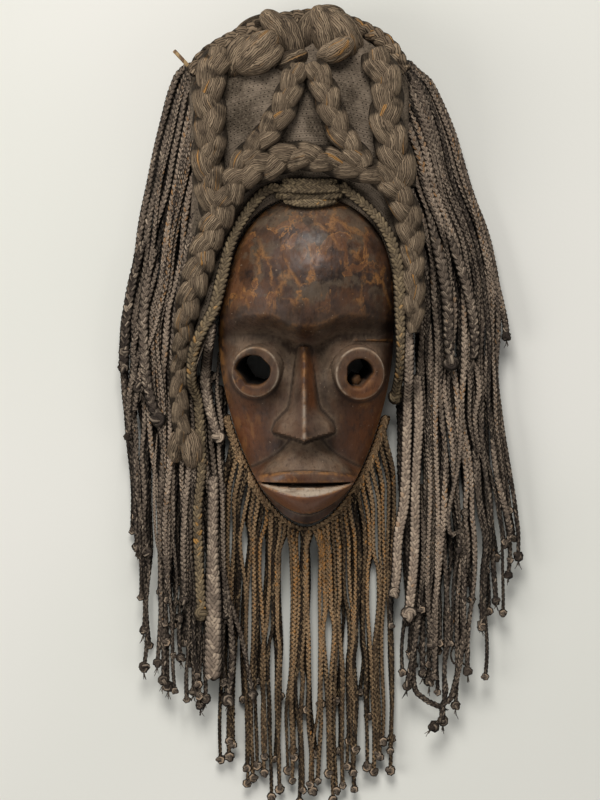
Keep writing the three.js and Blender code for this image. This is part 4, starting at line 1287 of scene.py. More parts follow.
@dataclass
class KnittedCap:
    """A cap knitted round the head opening, domed over the crown, with an arm down each temple."""

    outline: tuple[tuple[float, float], ...] = (
        (-86, -6), (-89, 40), (-90, 90), (-90, 140), (-91, 190), (-90, 224),
        (-73, 241), (-46, 255.5), (-12, 265.5), (22, 266.5), (61, 248), (78, 225),
        (79, 185), (77, 140), (78, 95), (80, 45), (80, -6),
    )
    opening: tuple[tuple[float, float], ...] = (
        (-82, -1), (-69, 34), (-60, 62), (-53.5, 86), (-45.5, 103), (-34.5, 115),
        (-22.5, 122), (-9, 125.5), (3, 126.5), (16, 125.5), (28, 121.5), (39, 115),
        (49.5, 105.5), (58, 92), (64.5, 69), (68, 42), (71, -1),
    )
    crest_low: float = 45.0
    crest_high: float = 64.0
    wall: float = 4.5
    stitch: float = 2.9
    course: float = 3.3
    along_count: int = 180
    across_count: int = 50
    edge_steps: int = 40
    crest_place: float = 0.3
    inner_height: float = 48.0

    def _edge(self, points: Points, along: Array) -> Array:
        """An edge at each share of the way round."""
        knots = np.array(points, float)
        fine = through(knots, self.edge_steps)
        index = np.clip(along, 0, 1) * (len(knots) - 1) * self.edge_steps
        whole = np.arange(len(fine))
        return np.column_stack([np.interp(index, whole, fine[:, k]) for k in range(2)])

    def point(self, along: Array, across: Array) -> tuple[Array, Array]:
        """Where a point of the cap lies, seen from above."""
        outer, inner = self._edge(self.outline, along), self._edge(self.opening, along)
        place = inner * (1 - across[:, None]) + outer * across[:, None]
        return place[:, 0], place[:, 1]

    def height(self, along: Array, across: Array) -> Array:
        """Height of the cap's outside over the ground."""
        crown = np.sin(math.pi * np.clip((along - 0.2) / 0.6, 0, 1))
        crest = self.crest_low + (self.crest_high - self.crest_low) * crown**0.6
        inner = self.inner_height + (crest - self.inner_height) * ramp(across, 0, self.crest_place)
        fall = ((across - self.crest_place) / 0.7).clip(0, 1)
        outer = crest * np.sqrt(np.maximum(0.12, 1 - fall**3))
        return np.where(across < self.crest_place, inner, outer)

    @staticmethod
    def _travelled(grids: Sequence[Array], axis: int) -> Array:
        """The way to each point of grids of coordinates, from their first row or column."""
        step = np.sqrt(sum(np.diff(grid, axis=axis) ** 2 for grid in grids))
        start = np.zeros_like(np.take(grids[0], [0], axis=axis))
        return np.concatenate([start, np.cumsum(step, axis=axis)], axis=axis)

    def build(self) -> Piece:
        """Knits the cap."""
        rows, columns = self.across_count, self.along_count
        along_share = np.linspace(0, 1, columns)
        along_share = along_share + 0.075 * np.sin(TURN * along_share)
        across_share = np.linspace(0, 1, rows)
        along, across = (a.ravel() for a in np.meshgrid(along_share, across_share))
        x, y = self.point(along, across)
        z = self.height(along, across)
        grids = [values.reshape(rows, columns) for values in (x, y, z)]
        middle_length = self._travelled(grids[:2], 1)[int(rows * 0.45)]
        wale = np.broadcast_to(middle_length / self.stitch, (rows, columns)).ravel()
        course = (self._travelled(grids, 0) / self.course).ravel()
        z = z + [0.8 * noise.noise(Vector((px / 9, py / 9, 0))) for px, py in zip(x, y)]
        top = np.column_stack([x, y, z])
        bottom = np.column_stack([x, y, np.maximum(z - self.wall, 0.3)])
        points = np.vstack([top, bottom])
        made = self._close(points, rows, columns)
        for name, values in (("wale", wale), ("course", course)):
            set_attribute(made, name, np.concatenate([values, values]))
        made.data.shade_smooth()
        made.data.materials.append(KnitFinish().make())
        return made

    def _close(self, points: Array, rows: int, columns: int) -> Piece:
        """Joins the outside and the lining along their edges."""
        count = rows * columns
        faces = [tuple(reversed(f)) for f in grid_faces(rows, columns)]
        faces += grid_faces(rows, columns, count)
        border = grid_border(rows, columns)
        size = len(border)
        for i in range(size):
            a, b = border[i], border[(i + 1) % size]
            faces.append((b, a, count + a, count + b))
        return add_object("knitted_cap", points, faces)


# Where ropes rest


class Support:
    """The face and the cap as one surface that ropes lie on."""

    ABOVE = 300.0
    STIFFNESS = 5

    def __init__(self, *pieces: Piece) -> None:
        """Gathers the surfaces of the pieces."""
        self.trees = []
        for piece in pieces:
            points = points_of(piece)
            faces = [tuple(polygon.vertices) for polygon in piece.data.polygons]
            self.trees.append(BVHTree.FromPolygons([tuple(p) for p in points], faces))

    def height(self, x: float, y: float, least: float) -> float:
        """Height of the highest surface under a point, and at least the given one."""
        found = least
        for tree in self.trees:
            place, _, _, _ = tree.ray_cast(Vector((x, y, self.ABOVE)), Vector((0, 0, -1)))
            if place is not None:
                found = max(found, place.z)
        return found

    def lay(self, points: Points, height: float, least: float, reach: float = 0) -> Array:
        """A line that rests on the surface, as stiff as the samples that STIFFNESS spans.

        Args:
            points: The route seen from above.
            height: How thick the rope is.
            least: The height of what it rests on beside the face.
            reach: How far to each side it is held up too.

        Returns:
            The line's points.
        """
        flat = spline(points, SPACING)
        sides = (-reach, 0, reach) if reach else (0,)
        rest = np.array([max(self.height(x + s, y, least) for s in sides) for x, y in flat]) + height / 2
        spans = self._spans(rest, self.STIFFNESS)
        high = 0.5 * spans.max(axis=1) + 0.5 * spans.mean(axis=1)
        return np.column_stack([flat, self._spans(high, 2).mean(axis=1)])

    @staticmethod
    def _spans(values: Array, reach: int) -> Array:
        """Each value with as many neighbours to each side as the reach says."""
        padded = np.pad(values, reach, mode="edge")
        return np.lib.stride_tricks.sliding_window_view(padded, 2 * reach + 1)


# Thick plaits and rim cords


@dataclass(frozen=True)
class Rope:
    """One thick plait or cord.

    Its period counts in widths, fill is a strand's radius as a share of its width, least is its lowest height
    and shape its thickness at places from 0 to 1.
    """

    node: str
    route: tuple[tuple[float, ...], ...]
    width: float
    height: float
    yarn: Yarn = Yarn.THICK
    slot: str = "plaited_cotton"
    period: float = 2.7
    yarns: int = 40
    fill: float = 0.33
    flat: float = 0.62
    tone: float = 0.55
    phase: float = 0.0
    least: float = 18.25
    shape: tuple[tuple[float, float], ...] = ((0, 0.8), (0.06, 1), (0.94, 1), (1, 0.8))
    knot: float = 0.0


ARCH_SHAPE = (
    (0, 0.6), (0.05, 0.7), (0.22, 0.78), (0.3, 1.12), (0.4, 1.15), (0.74, 1.0), (0.84, 0.95), (0.96, 0.85),
    (1, 0.45),
)

ROPES = (
    Rope("arch_plait", (
        (-91.5, -66), (-93, -52), (-95, -37), (-95.5, -11), (-92, 19), (-88, 44), (-81, 68), (-75, 88),
        (-68, 103), (-60, 120), (-50, 138), (-31, 147), (-10, 154), (12, 152), (30, 147), (52, 142),
        (66, 130), (75, 112), (78.5, 92), (80, 66), (80.5, 44), (80.5, 24),
    ), 21, 16, shape=ARCH_SHAPE),
    Rope("crown_plait", (
        (-86, 219), (-72, 234.5), (-46, 249), (-13, 259.5), (21, 260.5), (57, 244), (74, 220),
    ), 14, 12, yarns=12, period=1.9),
    Rope("left_outer_plait", (
        (-63, 234), (-72, 208), (-71, 173), (-73, 148), (-70, 126), (-67, 110),
    ), 25, 17, phase=2.4),
    Rope("right_outer_plait", (
        (50, 232), (60, 207), (59, 181), (64, 162), (69, 145), (71, 131),
    ), 25, 17, phase=1.0),
    Rope("left_vee_plait", (
        (-5, 222), (-12, 203), (-18, 186), (-31, 168), (-44, 154), (-52, 143),
    ), 20, 15, phase=0.6),
    Rope("right_vee_plait", (
        (5, 222), (13, 204), (19, 186), (26, 170), (36, 156), (43, 146),
    ), 20, 15, phase=2.0),
    Rope("left_flat_plait", (
        (-70, -84), (-70.5, -140), (-70, -190), (-70.5, -236),
    ), 14, 7, Yarn.SIDE, "side_braids", yarns=9, period=0.95, tone=0.4,
         shape=((0, 0.62), (0.35, 0.72), (0.62, 1), (0.95, 1.08), (1, 0.9))),
    Rope("left_inner_plait", (
        (-70, 31), (-75, 2), (-76, -18), (-70, -44), (-66, -54),
    ), 8.5, 7.5, Yarn.SIDE, yarns=8, period=1.2, knot=12.5, tone=0.4),
    Rope("right_inner_plait", (
        (76.5, 27), (77, -20), (76, -64), (74.5, -103), (70, -129), (68.5, -158), (66.8, -172),
    ), 8.2, 7, Yarn.SIDE, yarns=4, period=1.4, knot=11),
    Rope("right_side_plait", (
        (84, -8), (85.5, -40), (83, -90), (82, -142), (78, -188),
    ), 8.0, 7, Yarn.SIDE, yarns=4, period=1.4, knot=14),
    Rope("left_rim_cord", (
        (-21, 133), (-33, 127), (-47, 109), (-57, 88), (-63, 64.5), (-69, 41), (-77, 27), (-84, 10),
        (-86, -13), (-82, -26), (-80, -51), (-79, -80), (-82, -110), (-81, -150), (-79, -188),
    ), 10, 8.5, Yarn.CORD, yarns=6, period=1.25, fill=0.28, knot=14,
         shape=((0, 0.9), (0.35, 1), (0.5, 0.85), (1, 0.8))),
    Rope("right_rim_cord", (
        (26, 133.5), (47, 116), (59, 101), (66, 84), (69.5, 62), (70, 41), (70.5, 19), (70, -4), (67.5, -24),
    ), 10, 9, Yarn.CORD, yarns=6, period=1.25, fill=0.28, knot=13,
         shape=((0, 0.9), (0.5, 1), (0.8, 0.8), (1, 0.75))),
)


@dataclass(frozen=True)
class Lobe:
    """A bundle of yarn as a rounded lobe: its middle, length, width, turn in degrees, lift, tone and bend."""

    x: float
    y: float
    length: float
    width: float
    turn: float
    lift: float = 0.0
    tone: float = 0.5
    bend: float = 0.0


BUNS = {
    "left_bun": (
        Lobe(-33, 252, 42, 17, 14, 1, 0.15, 4), Lobe(-12, 228, 26, 15, 22, 2, 0.2, -2),
        Lobe(-24, 246, 40, 20, -62, 5, 0.5, 5), Lobe(-13, 242, 36, 17, -76, 6, 0.4, 3),
        Lobe(-47, 229, 32, 20, 62, 5, 0.5, 4), Lobe(-38, 233, 38, 25, 44, 10, 0.6, -2),
        Lobe(-32, 228, 32, 15, 34, 11, 0.5, -4), Lobe(-39, 235, 24, 12, 52, 17, 1.4, 0),
    ),
    "right_bun": (
        Lobe(31, 246, 34, 15, -66, 1, 0.4, 3), Lobe(3, 247, 36, 15, 80, 2, 0.4, 3),
        Lobe(12, 247, 42, 22, -74, 7, 0.5, 3), Lobe(22, 246, 40, 21, -58, 7, 0.6, 4),
        Lobe(15, 260, 30, 14, 8, 6, 0.4, 4), Lobe(21, 235, 28, 17, 28, 12, 0.6, -3),
        Lobe(22, 234, 22, 11, 34, 17, 1.4, -2),
    ),
}


# The ball at the arch's left end.
ARCH_KNOT = (Lobe(-94.5, -60, 28, 16, 70, 3, 0.5, 2), Lobe(-88.5, -63, 29, 17, 98, 5, 0.65, -2))
LOBE_POINTS = 25
FORELOCK_WEAVE = Weave(8.2, 8, 2.6, 8.5, steps=9, sides=9, ridges=3, ridge_depth=0.06, yarns=7)


@dataclass
class ThickPlaits:
    """The plaits sewn over the cap, the buns, and the cords round the wood's edge."""

    spinner: Spinner
    support: Support
    step: float = 2.4
    ridge_depth: float = 0.045
    forelock_rows: int = 4
    forelock_middle: tuple[float, float] = (3.0, 127.5)
    forelock_half: float = 23.5

    def _line(self, rope: Rope) -> Line:
        """The line of one rope, as thick along its length as its shape says."""
        points = self.support.lay(rope.route, rope.height, rope.least, reach=rope.width / 4)
        share = np.linspace(0, 1, len(points))
        stops, sizes = zip(*rope.shape)
        swell = np.interp(share, stops, sizes) * self.spinner.uneven(len(points), 0.07, len(points) / 7)
        return Line(points, rope.tone, rope.phase, swell)

    def _plait(self, rope: Rope) -> list[Piece]:
        """One plait of three bundles of yarn, with its end knot."""
        strand = rope.width * rope.fill
        period = rope.width * rope.period
        weave = Weave(rope.width, max(rope.height, 2.9 * strand), strand, period,
                      steps=max(9, round(period / self.step)), sides=max(8, rope.yarns * 3 // 5),
                      ridges=rope.yarns // 5, ridge_depth=self.ridge_depth, yarns=rope.yarns, flat=rope.flat)
        line = self._line(rope)
        pieces = [self.spinner.sweep(rope.node + "_yarn", [line], weave, rope.yarn)]
        if rope.knot:
            knots = [self.spinner.knot(line.points[-1], rope.knot, 0.5)]
            pieces.append(self.spinner.knots(rope.node + "_knot", knots, rope.yarn))
        return pieces

    def _lobes(self, name: str, lobes: Sequence[Lobe]) -> Piece:
        """Rounded bundles of yarn beside and over each other."""
        made = []
        for index, lobe in enumerate(lobes):
            angle = math.radians(lobe.turn)
            share = np.linspace(-1, 1, LOBE_POINTS)
            ahead = np.array([math.cos(angle), math.sin(angle)])
            aside = np.array([-ahead[1], ahead[0]])
            flat = np.array([lobe.x, lobe.y]) + np.outer(share * lobe.length / 2, ahead)
            flat += np.outer((1 - share**2) * lobe.bend, aside)
            base = self.support.height(lobe.x, lobe.y, 18)
            lift = base + lobe.lift - 7 * share**2
            swell = np.sqrt(np.clip(1.002 - np.abs(share) ** 2.4, 0.0004, 1))
            line = Line(np.column_stack([flat, lift]), lobe.tone, 0, swell)
            yarns = round(lobe.width * 1.9)
            weave = Weave(lobe.width, lobe.width, lobe.width / 2, 4.0, steps=3, sides=yarns,
                          ridges=yarns // 5, ridge_depth=0.035, yarns=yarns)
            made.append(self.spinner.sweep(f"{name}_{index}", [line], weave, Yarn.THICK, Twist.ROUND))
        return joined(name, made)

    def _forelock(self) -> Piece:
        """A flat oval of crochet over the forehead, worked in rows."""
        lines = []
        rows, (x, y) = self.forelock_rows, self.forelock_middle
        for row in range(rows):
            aside = (row - (rows - 1) / 2) / rows * 2
            half = self.forelock_half * math.sqrt(1 - 0.7 * aside**2)
            share = np.linspace(-1, 1, 21)
            route = np.column_stack([x + share * half, y + aside * 10 + 2.0 * share**2 * (1 - aside)])
            points = self.support.lay(route, 7, 18)
            place = np.linspace(-1, 1, len(points))
            points[:, 2] += 6 * np.sqrt(np.clip(1 - place**2, 0, 1)) * (1 - 0.6 * aside**2)
            lines.append(Line(points, 0.4 + 0.3 * (row == 0), row * 1.7))
        return self.spinner.sweep("forelock_yarn", lines, FORELOCK_WEAVE, Yarn.CORD)

    def build(self) -> None:
        """Makes them all."""
        for rope in ROPES:
            pieces = self._plait(rope)
            if rope.node == "arch_plait":
                pieces.append(self._lobes("arch_knot", ARCH_KNOT))
            present(joined(rope.node + "_yarn", pieces), rope.slot, rope.node)
        for node, lobes in BUNS.items():
            present(self._lobes(node + "_yarn", lobes), "plaited_cotton", node)
        present(self._forelock(), "plaited_cotton", "forelock")


# The side hair


@dataclass(frozen=True)
class Extra:
    """A braid that lies over the others: its route, width, end knot's size, tone, height and more knots."""

    route: tuple[tuple[float, float], ...]
    width: float = 5.8
    knot: float = 9.0
    tone: float = 0.5
    height: float = 20.0
    more_knots: tuple[float, ...] = ()


@dataclass(frozen=True)
class SideShape:
    """The lay of one side's hair, with lane 0 for the outermost braid.

    Its edge is that braid's route, wall_x the cap's inner edge, flare how much further apart the lanes lie at
    the bottom, and inner holds X and end of the braids beside the face.
    """

    label: str
    inward: int
    edge: tuple[tuple[float, float], ...]
    ends: tuple[float, ...]
    wall_x: float
    flare: float
    inner: tuple[tuple[float, float], ...]
    extras: tuple[Extra, ...]


LEFT_SIDE = SideShape(
    "left", 1,
    ((-96, 224), (-104, 203), (-113, 164), (-121, 127.5), (-127.5, 93), (-132, 64.5),
     (-138, 34.5), (-139, -7.5), (-135, -64), (-132, -139), (-132.5, -206), (-131, -262)),
    (-142, -205, -233, -230, -243, -248, -226, -252, -262, -257, -245),
    -85.0, 0.0,
    ((-65.5, -235), (-67, -215)),
    (
        Extra(((-114, 88), (-120, 66), (-123, 35), (-122, -2), (-117, -28), (-112, -40)), 9.0, 15, 0.35),
        Extra(((-119, 104), (-129, 74), (-136, 36), (-138.5, -2)), 8.0, 10, 0.1, 18, (0.9,)),
        Extra(((-112, 78), (-119, 52), (-130, 18), (-130, -4), (-126.5, -17)), 5.6, 10.5, 0.35),
        Extra(((-108, 60), (-114, 30), (-124, 2), (-130, -33)), 4.2, 6.5, 1.0),
        Extra(((-118, 30), (-128, 5), (-134, -24), (-134.5, -54)), 5.0, 8.5, 0.4),
        Extra(((-66, 10), (-67.5, -20), (-64, -46), (-66, -64), (-63.5, -103), (-62.5, -150), (-61, -190)),
              4.2, 7, 0.6),
        Extra(((-84, -40), (-90, -90), (-93, -135), (-92, -178)), 5.4, 9, 0.6),
        Extra(((-104, -20), (-103, -70), (-107, -120), (-105, -165)), 5.4, 0, 0.75),
        Extra(((-113, -52), (-115, -90), (-113, -134), (-104, -152)), 2.6, 0, 0.9, 21),
        Extra(((-76, -100), (-62, -160), (-56, -215), (-59, -254)), 5.8, 12, 0.3, 17),
        Extra(((-70, -150), (-52, -196), (-44, -230), (-40.5, -250)), 4.6, 9.5, 0.25, 15),
    ),
)
RIGHT_SIDE = SideShape(
    "right", -1,
    ((81.5, 226), (96, 213), (112, 176), (124.5, 136), (135, 105), (143.5, 70.5),
     (145.5, 41), (145.5, -1), (147.5, -38), (152, -70), (157, -110), (161, -149), (160, -280)),
    (-149, -163, -183, -200, -236, -214, -262, -274, -244, -238),
    78.0, 1.6,
    ((83, -225), (77, -240), (71.5, -205)),
    (
        Extra(((92, 118), (101, 82), (107, 50), (108, 20), (110, 2)), 9.6, 15, 0.3, 21),
        Extra(((104, 110), (116, 78), (125, 46), (128, 20), (127, 5)), 8.6, 0, 0.3, 21),
        Extra(((90, 60), (94, 20), (93, -40), (94, -100), (92, -160), (94, -205)), 4.4, 7, 0.95, 19),
        Extra(((97, 52), (99, 10), (98, -50), (100, -110), (99, -170), (97, -236)), 4.6, 8, 1.0, 19),
        Extra(((138, 84), (146, 58), (151, 34), (152, 22)), 5.4, 9, 0.4, 17),
        Extra(((124, 10), (130, -6), (131, -22), (128, -40), (131, -66)), 4.8, 0, 0.6, 20),
        Extra(((118, -20), (116, -70), (108, -112), (110, -128), (117, -126), (116, -140)), 4.0, 7, 0.5, 20),
        Extra(((140, -40), (144, -80), (152, -112), (155, -128), (151, -136)), 5.2, 7.5, 0.45, 19),
        Extra(((106, -60), (104, -120), (99, -170), (95, -212)), 5.6, 8.5, 0.7, 19),
        Extra(((88, -90), (89, -150), (84, -200), (77, -243)), 5.2, 9.5, 0.35, 18),
        Extra(((120, -110), (120, -181), (119, -212), (111, -250), (104, -257), (103, -268), (97, -274)),
              5.0, 10, 0.2, 17),
        Extra(((84, -150), (83, -190), (82, -241), (90, -253), (97, -257), (104, -260)), 4.8, 0, 0.2, 15),
        Extra(((108, -170), (109, -205), (105, -232), (107, -246), (104, -257)), 3.6, 0, 0.2, 15),
        Extra(((119, -206), (124, -216), (122, -228), (117, -222), (120, -210)), 1.7, 0, 0.1, 14),
        Extra(((90, -196), (94, -210), (90, -221), (85, -214), (92, -204)), 1.7, 0, 0.1, 14),
        Extra(((113, -206), (117, -218), (113, -227), (110, -219), (115, -208)), 1.7, 0, 0.1, 14),
    ),
)


@dataclass
class SideHair:
    """The thin braids of one side."""

    shape: SideShape
    spinner: Spinner
    support: Support
    pitch: float = 6.5
    front_height: float = 14.8
    weave: Weave = Weave(width=5.8, height=4.7, strand=1.5, period=12.2, steps=7, sides=5, yarns=3)
    under_weave: Weave = Weave(width=5.6, height=4.4, strand=1.45, period=12.6, steps=5, sides=4, yarns=3)
    loose_weave: Weave = Weave(width=4.7, height=3.8, strand=1.2, period=10.6, steps=5, sides=4, yarns=3)
    loose_count: int = 12
    under_heights: tuple[float, float] = (9.4, 4.6)
    inner_layers: tuple[tuple[float, float], ...] = ((10.5, 0.0), (5.2, 2.6))
    single_knot: float = 0.75

    def lane_x(self, lane: float, y: Array) -> Array:
        """X of a lane at height y."""
        line = spline(self.shape.edge, 2.0)
        order = np.argsort(line[:, 1])
        edge = np.interp(y, line[order, 1], line[order, 0])
        pitch = self.pitch + self.shape.flare * ramp(-y, 40, 180)
        return edge + self.shape.inward * lane * pitch

    def root_y(self, lane: float) -> float:
        """The height at which a lane leaves the cap."""
        y = self.shape.edge[0][1] - 3 - lane
        inward = self.shape.inward
        while (self.shape.wall_x - float(self.lane_x(lane, np.array(y)))) * inward < 0 and y > -12:
            y -= 2
        return y

    def line(self, lane: float, end: float, height: float, tone: tuple[float, float],
             x: float | None = None) -> Line:
        """The wandering line of one braid from the cap to its end.

        Args:
            lane: Its lane, 0 for the outermost.
            end: Where it ends.
            height: How high it lies over the ground.
            tone: The least and the most that its lightness may be.
            x: Its own x, where it keeps to no lane.

        Returns:
            The line.
        """
        dice = self.spinner.dice
        loose = 3.0 if lane >= 1 else 1.6
        top = self.root_y(lane) if x is None else -16.0
        y = np.linspace(top, end, max(8, int((top - end) / 6)))
        down = (top - y) / (top - end)
        first, second = dice.uniform(*PHASES), dice.uniform(*PHASES)
        wander = 0.55 * np.sin(y / dice.uniform(24, 44) + first)
        wander += 0.3 * np.sin(y / dice.uniform(9, 15) + second)
        drift = dice.uniform(-1, 1) * ramp(down, 0.45, 1) * 2.2
        side = (wander + drift) * loose * ramp(down, 0, 0.2)
        middle = self.lane_x(lane, y) if x is None else np.full(len(y), x)
        rise = np.sin(y / dice.uniform(14, 30) + second) * 1.3 * ramp(down, 0.1, 0.3)
        points = np.column_stack([middle + side, y, height + rise])
        if x is None:
            points = self._rooted(points, top, down, height)
        line = spline(points, SPACING)
        share = np.linspace(0, 1, len(line))
        taper = (1 - 0.3 * ramp(share, 0.35, 0.95)) * dice.uniform(0.86, 1.12)
        swell = self.spinner.uneven(len(line), 0.15, len(line) / 5) * taper
        dim = 1 - 0.8 * ramp(share, 0.5, 1)
        return Line(line, dice.uniform(*tone) * dim, dice.uniform(*PHASES), swell)

    def _rooted(self, points: Array, top: float, down: Array, height: float) -> Array:
        """The line with its first stretch lifted on to the cap's edge."""
        root = max(self.support.height(float(px), float(py), 0) for px, py, _ in points[:4])
        points[:, 2] += np.clip(root + 2 - height, 0, 14) * (1 - ramp(down, 0, 0.22))
        inner_x = points[0, 0] + self.shape.inward * 7
        inner_z = self.support.height(float(inner_x), float(top + 7), 0) + 1.5
        inner = np.array([[inner_x, top + 7, max(min(inner_z, points[0, 2] + 12), points[0, 2])]])
        return np.vstack([inner, points])

    @staticmethod
    def _heading(line: Line) -> Array:
        """The way in which a line ends."""
        last = line.points[-1] - line.points[-4]
        return last / np.linalg.norm(last)

    def _finish_ends(self, name: str, line: Line, shares: Sequence[float],
                     size: float) -> list[Piece]:
        """Knots on a braid, and the cut threads under the last one."""
        knots = []
        for share in shares:
            index = int(share * (len(line.points) - 1))
            knots.append(self.spinner.knot(line.points[index], size, float(np.min(line.tone)) * 0.6))
        pieces = [self.spinner.knots(name + "_knots", knots, Yarn.SIDE)]
        heading = self._heading(line) * (1, 1, 0)
        start = line.points[-1] + heading * size * 0.35
        tuft = self.spinner.tuft(start, heading, size * 0.6, float(np.min(line.tone)))
        pieces.append(self.spinner.sweep(name + "_tuft", tuft, THREAD, Yarn.SIDE, Twist.ROUND))
        return pieces

    def _extra(self, index: int, extra: Extra) -> list[Piece]:
        """One braid that lies over the others."""
        points = self.support.lay(extra.route, 4, extra.height - 2)
        share = np.linspace(0, 1, len(points))
        swell = self.spinner.uneven(len(points), 0.12, len(points) / 5)
        swell *= 0.5 + 0.5 * ramp(share, 0, 0.3)
        points[:, 2] -= 5 * (1 - ramp(share, 0, 0.25))
        tone = extra.tone * (1 - 0.7 * ramp(share, 0.5, 1))
        line = Line(points, tone, self.spinner.dice.uniform(*PHASES), swell)
        strand = extra.width * 0.25
        yarns = round(extra.width)
        weave = Weave(extra.width, extra.width * 0.8, strand, extra.width * 1.2 + 4.5, steps=7,
                      sides=max(5, yarns * 3 // 4), yarns=yarns)
        name = f"{self.shape.label}_over_{index}"
        pieces = [self.spinner.sweep(name, [line], weave, Yarn.SIDE)]
        if extra.knot:
            pieces += self._finish_ends(name, line, (*extra.more_knots, 1.0), extra.knot)
        else:
            tuft = self.spinner.tuft(line.points[-1], self._heading(line), extra.width, extra.tone, 9)
            pieces.append(self.spinner.sweep(name + "_fray", tuft, THREAD, Yarn.SIDE, Twist.ROUND))
        return pieces

    def build(self) -> None:
        """Makes the front braids one by one, and those under and over them as one piece."""
        label, ends, dice = self.shape.label, self.shape.ends, self.spinner.dice
        for lane, end in enumerate(ends):
            node = f"{label}_braid_{lane + 1:02d}"
            line = self.line(lane, end + 4, self.front_height, (0.2, 1.1))
            made = self.spinner.sweep(node + "_plait", [line], self.weave, Yarn.SIDE)
            shares = (1.0,) if dice.random() < self.single_knot else (dice.uniform(0.6, 0.93), 1.0)
            parts = [made, *self._finish_ends(node, line, shares, dice.uniform(8, 10.5))]
            present(joined(node + "_plait", parts), "side_braids", node)
        under = []
        last = len(ends) - 1
        for layer, height in enumerate(self.under_heights):
            for k in range(last + layer):
                end = max(ends[min(k, last)], ends[min(k + 1, last)]) + dice.uniform(10, 75)
                lane = min(k + 0.5 - 0.5 * layer, last)
                # Painted shade: the braids under the front ones get a darker tone.
                under.append(self.line(lane, end, height, (-0.3, 0.2)))
        for x, end in self.shape.inner:
            for height, shift in self.inner_layers:
                under.append(self.line(1, end + dice.uniform(0, 12), height, (-0.1, 0.5), x + shift))
        node = f"{label}_hair_mat"
        made = self.spinner.sweep(node + "_plaits", under, self.under_weave, Yarn.SIDE)
        loose = []
        for _ in range(self.loose_count):
            lane = dice.uniform(0.2, last)
            end = min(ends[int(lane)], ends[int(lane) + 1]) + dice.uniform(-4, 70)
            loose.append(self.line(lane, end, dice.uniform(14.5, 19.5), (0.1, 1.1)))
        tips = [self.spinner.knot(line.points[-1], dice.uniform(6.5, 9), 0.2) for line in under + loose]
        parts = [made, self.spinner.knots(node + "_knots", tips, Yarn.SIDE),
                 self.spinner.sweep(node + "_loose", loose, self.loose_weave, Yarn.SIDE)]
        for index, extra in enumerate(self.shape.extras):
            parts += self._extra(index, extra)
        present(joined(node + "_plaits", parts), "side_braids", node)


# The beard


